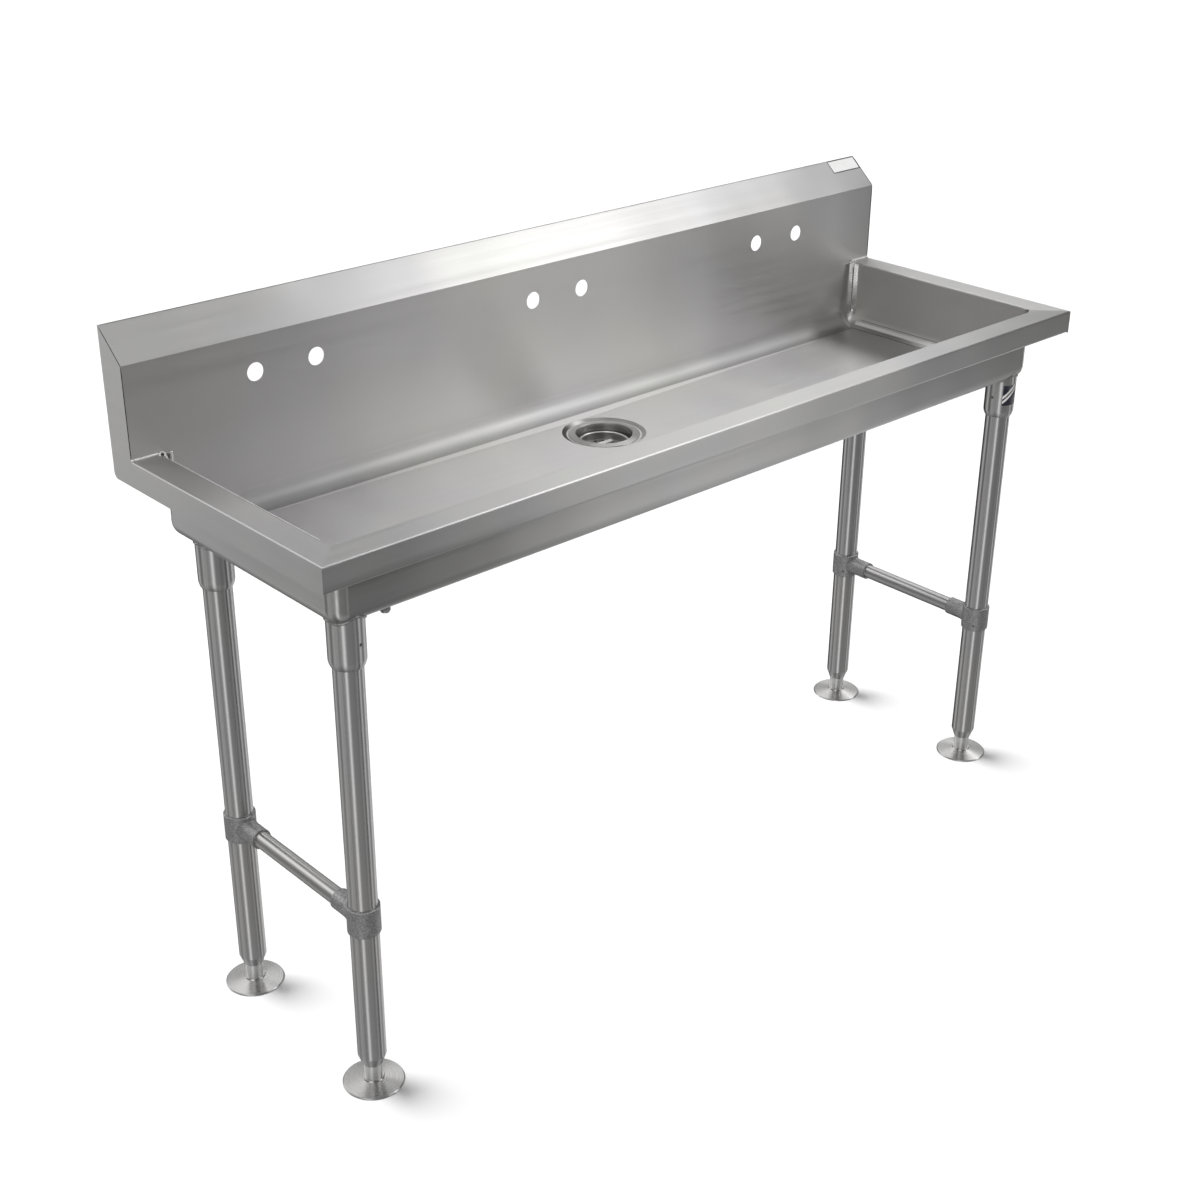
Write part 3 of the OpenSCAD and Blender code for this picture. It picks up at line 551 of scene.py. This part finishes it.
toned_by_height(basket_pressed, basket_top - BASKET_DARK_DEPTH, basket_top - BASKET_LIGHT_DEPTH,
                DRAIN_PAINTED_SHADE, BASKET_EDGE_PAINTED_HIGHLIGHT)
print("flange top", round(flange_top, 4), "basket top", round(basket_top, 4))
polished, shader = new_finish("bar_polished", (0.82, 0.815, 0.81), 0.16)
scuffs = streaks(polished, (350.0, 350.0, 350.0), 2.0)
join(polished, ranged(polished, scuffs.outputs["Fac"], 0.12, 0.22), shader.inputs["Roughness"])

# %% Small parts of the drain
zinc = worn("nut_zinc", (0.50, 0.50, 0.49), 0.42, grain=180.0)
black_rubber = worn("gasket_rubber", (0.02, 0.02, 0.02), 0.7, 0.0, grain=600.0)
brown_fibre = worn("washer_fibre", (0.20, 0.12, 0.08), 0.8, 0.0, grain=900.0)
screw_steel = worn("screw_dark", (0.25, 0.25, 0.25), 0.35, grain=900.0)

# %% Outlet thread
THREAD_PITCH = 0.0022
WAVES_PER_SCALE = 20.0
outlet_threaded = worn("outlet_threaded", (0.52, 0.515, 0.51), 0.36)
place = add_node(outlet_threaded, "ShaderNodeTexCoord")
thread_scale = 2.0 * math.pi / (WAVES_PER_SCALE * THREAD_PITCH)
thread = add_node(outlet_threaded, "ShaderNodeTexWave", bands_direction="Z", Scale=thread_scale)
join(outlet_threaded, place.outputs["Object"], thread.inputs["Vector"])
bump = add_node(outlet_threaded, "ShaderNodeBump", Strength=0.8, Distance=0.001)
join(outlet_threaded, thread.outputs["Fac"], bump.inputs["Height"])
thread_shader = outlet_threaded.node_tree.nodes["Principled BSDF"]
join(outlet_threaded, bump.outputs["Normal"], thread_shader.inputs["Normal"])

# %% [markdown]
# ## Finishes on the CAD parts
#
# Each CAD part keeps its shape and gets a finish in its material slot.

# %% Finishes on the CAD parts
CORNERS = ("front_left", "front_right", "rear_left", "rear_right")
FINISH_OF = {
    "back_sheet": sheet_coved,
    "front_sheet": sheet_along,
    "floor_sheet": sheet_along,
    "left_bowl_end": sheet_across,
    "right_bowl_end": sheet_across,
    "left_end_panel": sheet_across,
    "right_end_panel": sheet_across,
    "underside_stud": zinc,
    "socket_screws": screw_steel,
    "tee_screws": screw_steel,
    "cross_tube_left": tube_level,
    "cross_tube_right": tube_level,
    "strainer_body": drain_turned,
    "outlet_stub": outlet_threaded,
    "strainer_basket": basket_pressed,
    "basket_lift_bar": polished,
    "basket_post": polished,
    "basket_stopper": black_rubber,
    "drain_gasket": black_rubber,
    "drain_washer": brown_fibre,
    "drain_locknut": zinc,
}
for corner in CORNERS:
    FINISH_OF["socket_" + corner] = tube_upright
    FINISH_OF["leg_" + corner] = tube_upright
    FINISH_OF["tee_" + corner] = cast_grey
    FINISH_OF["insert_" + corner] = tube_upright
    FINISH_OF["foot_stem_" + corner] = stem_turned
    FINISH_OF["foot_plate_" + corner] = turned_plate
for name, part in nodes.items():
    part.data.materials.clear()
    part.data.materials.append(FINISH_OF[name])
print("finished CAD parts:", len(nodes))

# %% [markdown]
# ## Helpers for the small pieces
#
# Welds, the label plate and the sticker are too small for CAD, but the eye looks for them. Each is a small
# mesh of its own. It could be painted on as a bump, but a real edge catches the light. Each piece rides
# with the sink and takes its place in the mesh itself.

# %% Piece helpers
def finished_piece(name, bm, finishes):
    """A smooth mesh object from a bmesh, with its finishes, that rides with the sink."""
    bmesh.ops.recalc_face_normals(bm, faces=bm.faces)
    mesh = bpy.data.meshes.new(name)
    bm.to_mesh(mesh)
    bm.free()
    for finish in finishes:
        mesh.materials.append(finish)
    for face in mesh.polygons:
        face.use_smooth = True
    piece = bpy.data.objects.new(name, mesh)
    bpy.context.scene.collection.objects.link(piece)
    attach(piece, "sink")
    print(name, "faces:", len(mesh.polygons))
    return piece


def edges_of(verts):
    """The edges at some points, each once, in a fixed order."""
    return list(dict.fromkeys(edge for vert in verts for edge in vert.link_edges))


BEAD_TIP_SHARE = 0.45
RIPPLE_TURN = 2.4


def bead_run(bm, start, end, radius, steps, ripple=0.14):
    """A weld bead from start to end: a ring drawn along in steps, each a little fatter or thinner than the last."""
    run = end - start
    tip = radius * BEAD_TIP_SHARE
    aim = run.to_track_quat("Z", "Y").to_matrix().to_4x4()
    ring = bmesh.ops.create_circle(bm, segments=10, radius=tip, matrix=Matrix.Translation(start) @ aim)
    edges = edges_of(ring["verts"])
    bmesh.ops.edgeloop_fill(bm, edges=edges)
    for step in range(steps + 1):
        made = bmesh.ops.extrude_edge_only(bm, edges=edges)["geom"]
        verts = [item for item in made if isinstance(item, bmesh.types.BMVert)]
        edges = [item for item in made if isinstance(item, bmesh.types.BMEdge)]
        middle = sum((vert.co for vert in verts), Vector()) / len(verts)
        wanted = start + run * (0.5 + step) / (steps + 1)
        bmesh.ops.translate(bm, vec=wanted - middle, verts=verts)
        wide = radius * (1.0 + ripple * math.sin(RIPPLE_TURN * step)) if step < steps else tip
        grow = wide / (verts[0].co - wanted).length
        bmesh.ops.scale(bm, vec=(grow, grow, grow), space=Matrix.Translation(-wanted), verts=verts)
    bmesh.ops.edgeloop_fill(bm, edges=edges)


def spun_ring(bm, place, radius, tube_radius, segments, steps):
    """A closed ring round the place's own z axis: a small circle, spun all the way round."""
    start = place @ Matrix.Translation((radius, 0.0, 0.0)) @ Matrix.Rotation(math.pi / 2, 4, "X")
    ring = bmesh.ops.create_circle(bm, segments=segments, radius=tube_radius, matrix=start)
    edges = edges_of(ring["verts"])
    axis = place.to_3x3() @ Vector((0.0, 0.0, 1.0))
    bmesh.ops.spin(bm, geom=ring["verts"] + edges, cent=place.translation, axis=axis, angle=2 * math.pi, steps=steps,
                   use_merge=True)


# %% [markdown]
# ## Weld and seam finishes
#
# A bare weld is shinier than the brushed sheet round it, and has no brushing of its own. A ground band
# beside a seam is nearly as light, and the seam itself is dull and dark.

# %% Weld and seam finishes
# Bright welds, and also the painted highlight of the corner bands.
weld_bright_and_painted_highlight, shader = new_finish("weld_bright_and_painted_highlight", (0.80, 0.79, 0.78), 0.30, 0.55)
ripples = streaks(weld_bright_and_painted_highlight, (420.0, 420.0, 420.0), 2.0)
bump = add_node(weld_bright_and_painted_highlight, "ShaderNodeBump", Strength=0.35, Distance=0.0003)
join(weld_bright_and_painted_highlight, ripples.outputs["Fac"], bump.inputs["Height"])
join(weld_bright_and_painted_highlight, bump.outputs["Normal"], shader.inputs["Normal"])
join(weld_bright_and_painted_highlight, ranged(weld_bright_and_painted_highlight, ripples.outputs["Fac"], 0.22, 0.42), shader.inputs["Roughness"])

fillet_grey = worn("fillet_grey", (0.46, 0.455, 0.45), 0.45, grain=420.0)

# Used for the foot bands: partly ground metal, partly painted highlight.
ground_band_and_painted_highlight, shader = new_finish("ground_band_and_painted_highlight", (0.64, 0.635, 0.63), 0.42, 0.8)
rubs = streaks(ground_band_and_painted_highlight, (500.0, 40.0, 500.0), 3.0)
join(ground_band_and_painted_highlight, ranged(ground_band_and_painted_highlight, rubs.outputs["Fac"], 0.34, 0.50), shader.inputs["Roughness"])

# Dark seams, and also painted shade for the dark lines along the splash's end folds.
seam_dark_and_fold_shade = worn("seam_dark_and_fold_shade", (0.14, 0.138, 0.135), 0.5, grain=300.0)
pinhole_dark = worn("pinhole_dark", (0.03, 0.03, 0.03), 0.8, 0.0, grain=900.0)

# %% [markdown]
# ## Welds where the rim meets the splash
#
# At each end the flat rim is welded to the foot of the splash. The weld shows as a thin bright bead, with a
# dot at the outer corner, a small raised ring round a pinhole at the bowl's corner, and a short lip that
# runs down into the bowl. The hole could be cut through the weld, but a thin dark disc inside the ring
# looks the same from outside.

# %% Rim welds
BEAD_R = 0.0015
DOT_R = 0.0021
PIN_RING_R = 0.0036
PIN_TUBE_R = 0.0013
PIN_OUT, PIN_FORWARD, PIN_UP = 0.0002, 0.0066, 0.0006
PIN_FACING = Vector((0.25, -0.65, 0.72))
LIP_R = 0.0019
LIP_RUN = 0.0095
LIP_IN, LIP_FORWARD, LIP_UP = 0.0052, 0.0018, 0.0002
BEAD_START = 0.002

for side, side_name in SIDES:
    bm = bmesh.new()
    outer = Vector((side * (END_X - DOT_R), SPLASH_FACE - BEAD_R * 0.5, RIM_TOP + BEAD_R * 0.2))
    inner = Vector((side * (BOWL_END_X + BEAD_START), outer.y, outer.z))
    bead_run(bm, inner, outer, BEAD_R, 22)
    bmesh.ops.create_icosphere(bm, subdivisions=3, radius=DOT_R, matrix=Matrix.Translation(outer))
    pin = Vector((side * (BOWL_END_X + PIN_OUT), SPLASH_FACE - PIN_FORWARD, RIM_TOP + PIN_UP))
    facing = Vector((side * PIN_FACING.x, PIN_FACING.y, PIN_FACING.z)).normalized()
    aim = Matrix.Translation(pin) @ facing.to_track_quat("Z", "Y").to_matrix().to_4x4()
    spun_ring(bm, aim, PIN_RING_R, PIN_TUBE_R, 12, 28)
    lip_top = Vector((side * (BOWL_END_X - LIP_IN), SPLASH_FACE - LIP_FORWARD, RIM_TOP + LIP_UP))
    bead_run(bm, lip_top, lip_top + Vector((0.0, -LIP_RUN, -LIP_RUN)), LIP_R, 8)
    finished_piece("rim_weld_" + side_name, bm, [weld_bright_and_painted_highlight])
    bm = bmesh.new()
    hole = aim @ Matrix.Translation((0.0, 0.0, PIN_TUBE_R * 0.1))
    bmesh.ops.create_circle(bm, cap_ends=True, segments=20, radius=PIN_RING_R - PIN_TUBE_R * 0.5, matrix=hole)
    bmesh.ops.solidify(bm, geom=bm.faces[:], thickness=PIN_TUBE_R * 0.2)
    finished_piece("rim_pinhole_" + side_name, bm, [pinhole_dark])

# %% [markdown]
# ## Seams in the bowl's corners
#
# The coved ends are separate pieces, welded in and ground. Each rear corner shows two bright bands with the
# dark seam between them, and the foot of each end shows one such band between two fine dark lines. The bright
# bands are partly ground metal and partly painted highlight: their light colour stands in for light that the
# curved corner and cove catch.
# The bands could be painted by a mask, but a thin curved strip just off the sheet is plainer: an edge is
# spun round the cove's own axis. The seam swells at the bottom of the corner, as a weld does where a
# grinder can't reach.

# %% Cove helpers
BAND_LIFT = 0.00012
SEAM_R = 0.0008
LINE_R = 0.0005


def cove_point(side, along, turn, lift, upright):
    """A point on an end's cove. The turn runs in degrees from the end's wall to the splash, or to the floor."""
    out = COVE_R - lift
    flat = side * (BOWL_END_X - COVE_R + out * math.cos(math.radians(turn)))
    fall = out * math.sin(math.radians(turn))
    if upright:
        return Vector((flat, SPLASH_FACE - COVE_R + fall, along))
    return Vector((flat, along, FLOOR_TOP + COVE_R - fall))


def cove_band(bm, side, start, end, turn_from, turn_to, upright):
    """A thin strip on the cove: its first edge is spun round the cove's axis, then given a thickness."""
    first = bm.verts.new(cove_point(side, start, turn_from, BAND_LIFT, upright))
    last = bm.verts.new(cove_point(side, end, turn_from, BAND_LIFT, upright))
    edge = bm.edges.new((first, last))
    middle_x = side * (BOWL_END_X - COVE_R)
    if upright:
        centre, axis = Vector((middle_x, SPLASH_FACE - COVE_R, 0.0)), Vector((0.0, 0.0, side))
    else:
        centre, axis = Vector((middle_x, 0.0, FLOOR_TOP + COVE_R)), Vector((0.0, side, 0.0))
    angle = math.radians(turn_to - turn_from)
    bmesh.ops.spin(bm, geom=[first, last, edge], cent=centre, axis=axis, angle=angle, steps=8)
    faces = bm.faces[:]
    bmesh.ops.recalc_face_normals(bm, faces=faces)
    bmesh.ops.solidify(bm, geom=faces, thickness=BAND_LIFT * 0.8)


# %% Corner seams
CORNER_BAND_TURNS = ((6.0, 29.0), (37.0, 54.0))
CORNER_BAND_LOW, CORNER_BAND_HIGH = FLOOR_TOP + 0.021, RIM_TOP - 0.003
SEAM_TURN = 33.0
SEAM_LOW, SEAM_HIGH = FLOOR_TOP + 0.024, RIM_TOP - 0.004
KNOB_TURN = 24.0
KNOB_SIZE = (0.0024, 0.0024, 0.0052, 1.0)
CORNER_BEAD_R = 0.0016
CORNER_BEAD_INNER = (0.6880, 0.1850, 0.0015)
CORNER_BEAD_OUTER = (0.7060, 0.1860, 0.0050)

for side, side_name in SIDES:
    # Painted highlight: two bright strips in each rear corner, partly ground metal.
    for number, (turn_from, turn_to) in enumerate(CORNER_BAND_TURNS):
        bm = bmesh.new()
        cove_band(bm, side, CORNER_BAND_LOW, CORNER_BAND_HIGH, turn_from, turn_to, True)
        finished_piece("corner_highlight_band_%s_%d" % (side_name, number + 1), bm, [weld_bright_and_painted_highlight])
    bm = bmesh.new()
    seam_foot = cove_point(side, SEAM_LOW, SEAM_TURN, 0.0, True)
    bead_run(bm, seam_foot, cove_point(side, SEAM_HIGH, SEAM_TURN, 0.0, True), SEAM_R, 60, 0.10)
    finished_piece("corner_seam_" + side_name, bm, [seam_dark_and_fold_shade])
    bm = bmesh.new()
    knob = Matrix.Translation(cove_point(side, SEAM_LOW, KNOB_TURN, 0.0, True)) @ Matrix.Diagonal(KNOB_SIZE)
    bmesh.ops.create_icosphere(bm, subdivisions=3, radius=1.0, matrix=knob)
    ends = [Vector((side * out, back, FLOOR_TOP + up)) for out, back, up in (CORNER_BEAD_INNER, CORNER_BEAD_OUTER)]
    bead_run(bm, *ends, CORNER_BEAD_R, 10)
    finished_piece("corner_weld_" + side_name, bm, [weld_bright_and_painted_highlight])

# %% Foot seams
FOOT_BAND_TURNS = (32.0, 52.0)
FOOT_LINE_TURNS = (20.0, 82.0)
front, rear = FRONT_IN_Y + COVE_R + 0.002, SPLASH_FACE - COVE_R - 0.004

for side, side_name in SIDES:
    bm = bmesh.new()
    # Painted highlight: a bright strip in the end's cove, partly ground metal.
    cove_band(bm, side, front, rear, *FOOT_BAND_TURNS, False)
    finished_piece("foot_highlight_band_" + side_name, bm, [ground_band_and_painted_highlight])
    bm = bmesh.new()
    for turn in FOOT_LINE_TURNS:
        line_front = cove_point(side, front, turn, 0.0, False)
        bead_run(bm, line_front, cove_point(side, rear, turn, 0.0, False), LINE_R, 30, 0.05)
    finished_piece("foot_lines_" + side_name, bm, [seam_dark_and_fold_shade])

# %% [markdown]
# ## The inner edge of the side rims
#
# Where a side rim turns down into the bowl, the bend shows as a hair-thin light line. It is a painted
# highlight: a light bead stands in for the light that a rounded edge would catch. It could be a stripe in the
# finish, but a run of its own, laid in the bend, stays sharp.

# %% Inner edge lines
EDGE_R = 0.0003
EDGE_STOPS_BEFORE = 0.013
# Painted highlight: a light bead along the bend, in place of the light a rounded edge catches.
edge_painted_highlight = worn("edge_painted_highlight", (0.80, 0.795, 0.79), 0.35, 0.7, grain=60.0)

for side, side_name in SIDES:
    bm = bmesh.new()
    front_end = Vector((side * (BOWL_END_X + EDGE_R), FRONT_IN_Y + COVE_R, RIM_TOP - EDGE_R * 0.4))
    rear_end = Vector((front_end.x, SPLASH_FACE - EDGE_STOPS_BEFORE, front_end.z))
    bead_run(bm, front_end, rear_end, EDGE_R, 40, 0.06)
    finished_piece("rim_edge_highlight_" + side_name, bm, [edge_painted_highlight])

# %% [markdown]
# ## Fine lines at the splash's edges
#
# The end panels are welded to the splash and its slope, and up each end the joint shows as a fine dark line,
# partly the ground joint and partly painted shade where the fold turns from the light. The slope's top edge
# turns down to the rear, and its bend shows as a finer grey line against the white: painted shade on the
# bend. These are bead runs too.

# %% Splash edge lines
JOINT_R = 0.0007
BEND_R = 0.0005
JOINT_STARTS_ABOVE = 0.003
JOINT_STOP_SHARE = 0.02
BEND_STOPS_BEFORE = 0.001
# Painted shade: a grey bead along the slope's top bend.
edge_painted_shade = worn("edge_painted_shade", (0.30, 0.297, 0.294), 0.5, grain=60.0)

# Dark lines up each end: partly the ground joint, partly painted shade of the fold.
for side, side_name in SIDES:
    inset = Vector((side * (END_X - JOINT_R), 0.0, 0.0))
    bm = bmesh.new()
    joint_foot = Vector((0.0, SPLASH_FACE, RIM_TOP + JOINT_STARTS_ABOVE)) + inset
    bead_run(bm, joint_foot, SLOPE_FOOT + inset, JOINT_R, 24, 0.05)
    joint_top = SLOPE_TOP.lerp(SLOPE_FOOT, JOINT_STOP_SHARE) - Vector((0.0, 0.0, JOINT_R * 0.3)) + inset
    bead_run(bm, SLOPE_FOOT + inset, joint_top, JOINT_R * 0.8, 12, 0.05)
    finished_piece("splash_joint_shade_" + side_name, bm, [seam_dark_and_fold_shade])
bm = bmesh.new()
bend = SLOPE_TOP - Vector((0.0, BEND_R, BEND_R))
bend_half = Vector((END_X - BEND_STOPS_BEFORE, 0.0, 0.0))
bead_run(bm, bend - bend_half, bend + bend_half, BEND_R, 60, 0.0)
finished_piece("slope_bend_shade_line", bm, [edge_painted_shade])

# %% [markdown]
# ## Fillet welds round the sockets
#
# Each leg socket is welded to the underside of the bowl. The weld follows the bowl's rounded corner, so a
# plain ring is spun first and its points are then lifted to where the bowl's outside is above them.

# %% Socket welds
SOCKET_R = 0.0254
FILLET_R = 0.0020
RIPPLE_H = 0.0002
RIPPLES = 40.0
UNDER_Z = FLOOR_TOP - SHEET_T


def underside_above(place):
    """How far the bowl's outside rises above its flat bottom, over a point of the plan."""
    outer = COVE_R + SHEET_T
    past_x = max(0.0, abs(place.x) - (BOWL_END_X - COVE_R))
    past_y = max(0.0, FRONT_IN_Y + COVE_R - place.y)
    past = min(math.hypot(past_x, past_y), outer)
    return outer - math.sqrt(outer * outer - past * past)


for corner in CORNERS:
    low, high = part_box("socket_" + corner)
    axis = Vector(((low[0] + high[0]) / 2, (low[1] + high[1]) / 2, UNDER_Z - FILLET_R * 0.45))
    bm = bmesh.new()
    spun_ring(bm, Matrix.Translation(axis), SOCKET_R, FILLET_R, 10, 96)
    for vert in bm.verts:
        turn = math.atan2(vert.co.y - axis.y, vert.co.x - axis.x)
        foot = axis + Vector((math.cos(turn), math.sin(turn), 0.0)) * SOCKET_R
        vert.co.z += underside_above(foot) + RIPPLE_H * math.sin(turn * RIPPLES)
    finished_piece("socket_weld_" + corner, bm, [fillet_grey])

# %% [markdown]
# ## The label plate
#
# A thin foil plate sits at the right end of the sloped return. Here it is bare: a pale face inside a thin
# dark edge line. A cube is flattened, its upright corners are rounded, and its face is inset for the line.

# %% Label plate
LABEL_MIDDLE_X = 0.7243
LABEL_UP_SHARE = 0.788
LABEL_L = 0.072
LABEL_W = 0.0270
LABEL_T = 0.0004
LABEL_CORNER = 0.0016
LABEL_LINE = 0.0020
LABEL_OUT_SHARE = 0.4

label_face = worn("label_foil", (0.90, 0.90, 0.895), 0.42, 0.1, grain=260.0, unevenness=0.03)
label_line = worn("label_edge_line", (0.05, 0.05, 0.055), 0.5, 0.0, grain=600.0)

slope_up = (SLOPE_TOP - SLOPE_FOOT).normalized()
slope_out = Vector((1.0, 0.0, 0.0)).cross(slope_up)
label_place = Matrix((Vector((1.0, 0.0, 0.0)), slope_up, slope_out)).transposed().to_4x4()
label_middle = SLOPE_FOOT.lerp(SLOPE_TOP, LABEL_UP_SHARE) + Vector((LABEL_MIDDLE_X, 0.0, 0.0))
label_place.translation = label_middle + slope_out * LABEL_T * LABEL_OUT_SHARE
bm = bmesh.new()
bmesh.ops.create_cube(bm, size=1.0, matrix=Matrix.Diagonal((LABEL_L, LABEL_W, LABEL_T, 1.0)))
upright = [edge for edge in bm.edges if abs(edge.verts[0].co.z - edge.verts[1].co.z) > LABEL_T / 2]
bmesh.ops.bevel(bm, geom=upright, offset=LABEL_CORNER, segments=5, profile=0.5, affect="EDGES", material=-1)
top = [face for face in bm.faces if face.normal.z > 0.9]
edge_faces = bmesh.ops.inset_region(bm, faces=top, thickness=LABEL_LINE, use_even_offset=True)["faces"]
for face in edge_faces:
    face.material_index = 1
bmesh.ops.transform(bm, matrix=label_place, verts=bm.verts)
label = finished_piece("label_plate", bm, [label_face, label_line])
for face in label.data.polygons:
    face.use_smooth = False

# %% [markdown]
# ## The sticker on the right front socket
#
# A small dark sticker is wrapped round the socket. It is a plain one, with two pale slanting bands. One
# upright edge is spun round the socket's axis for the sheet, and solidify gives it a thickness.

# %% Sticker
STICKER_FROM = math.radians(226.0)
STICKER_TURN = math.radians(66.0)
STICKER_LOW = 0.702
STICKER_HIGH = 0.738
STICKER_LIFT = 0.00008
STICKER_T = 0.00015
STICKER_SLANT = 0.95
BANDS_HALF = 0.012
DARK = (0.02, 0.022, 0.035, 1.0)
PALE = (0.72, 0.70, 0.68, 1.0)
FIRST_PALE = 0.45
BAND_STOPS = ((0.60, DARK), (0.70, PALE), (0.86, DARK))

sticker_film, shader = new_finish("sticker_film", DARK[:3], 0.32, 0.0)
place = add_node(sticker_film, "ShaderNodeTexCoord")
low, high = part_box("socket_front_right")
sticker_axis = Vector(((low[0] + high[0]) / 2, (low[1] + high[1]) / 2, STICKER_LOW))
middle_turn = STICKER_FROM + STICKER_TURN / 2
outward = Vector((math.cos(middle_turn), math.sin(middle_turn), 0.0))
across = Vector((-outward.y, outward.x, 0.0))
slant = (Vector((0.0, 0.0, 1.0)) - across * STICKER_SLANT).normalized()
sticker_middle = sticker_axis + outward * SOCKET_R + Vector((0.0, 0.0, (STICKER_HIGH - STICKER_LOW) / 2))
height_on_slant = add_node(sticker_film, "ShaderNodeVectorMath", operation="DOT_PRODUCT")
join(sticker_film, place.outputs["Object"], height_on_slant.inputs[0])
height_on_slant.inputs[1].default_value = slant
bands = add_node(sticker_film, "ShaderNodeValToRGB")
on_slant = sticker_middle.dot(slant)
bands_from, bands_to = on_slant - BANDS_HALF, on_slant + BANDS_HALF
up_bands = ranged(sticker_film, height_on_slant.outputs["Value"], 0.0, 1.0, bands_from, bands_to)
join(sticker_film, up_bands, bands.inputs["Fac"])
bands.color_ramp.interpolation = "CONSTANT"
bands.color_ramp.elements[0].color = DARK
bands.color_ramp.elements[-1].position = FIRST_PALE
bands.color_ramp.elements[-1].color = PALE
for stop, colour in BAND_STOPS:
    bands.color_ramp.elements.new(stop).color = colour
join(sticker_film, bands.outputs["Color"], shader.inputs["Base Color"])

bm = bmesh.new()
first_edge = Vector((math.cos(STICKER_FROM), math.sin(STICKER_FROM), 0.0))
start = sticker_axis + first_edge * (SOCKET_R + STICKER_LIFT)
foot = bmesh.ops.create_vert(bm, co=start)["vert"][0]
edge = bmesh.ops.extrude_vert_indiv(bm, verts=[foot])
bmesh.ops.translate(bm, vec=(0, 0, STICKER_HIGH - STICKER_LOW), verts=edge["verts"])
upright_edge = [foot] + edge["verts"] + edge["edges"]
bmesh.ops.spin(bm, geom=upright_edge, cent=sticker_axis, axis=(0, 0, 1), angle=STICKER_TURN, steps=30)
bmesh.ops.recalc_face_normals(bm, faces=bm.faces)
bmesh.ops.solidify(bm, geom=bm.faces[:], thickness=STICKER_T)
finished_piece("socket_sticker", bm, [sticker_film])
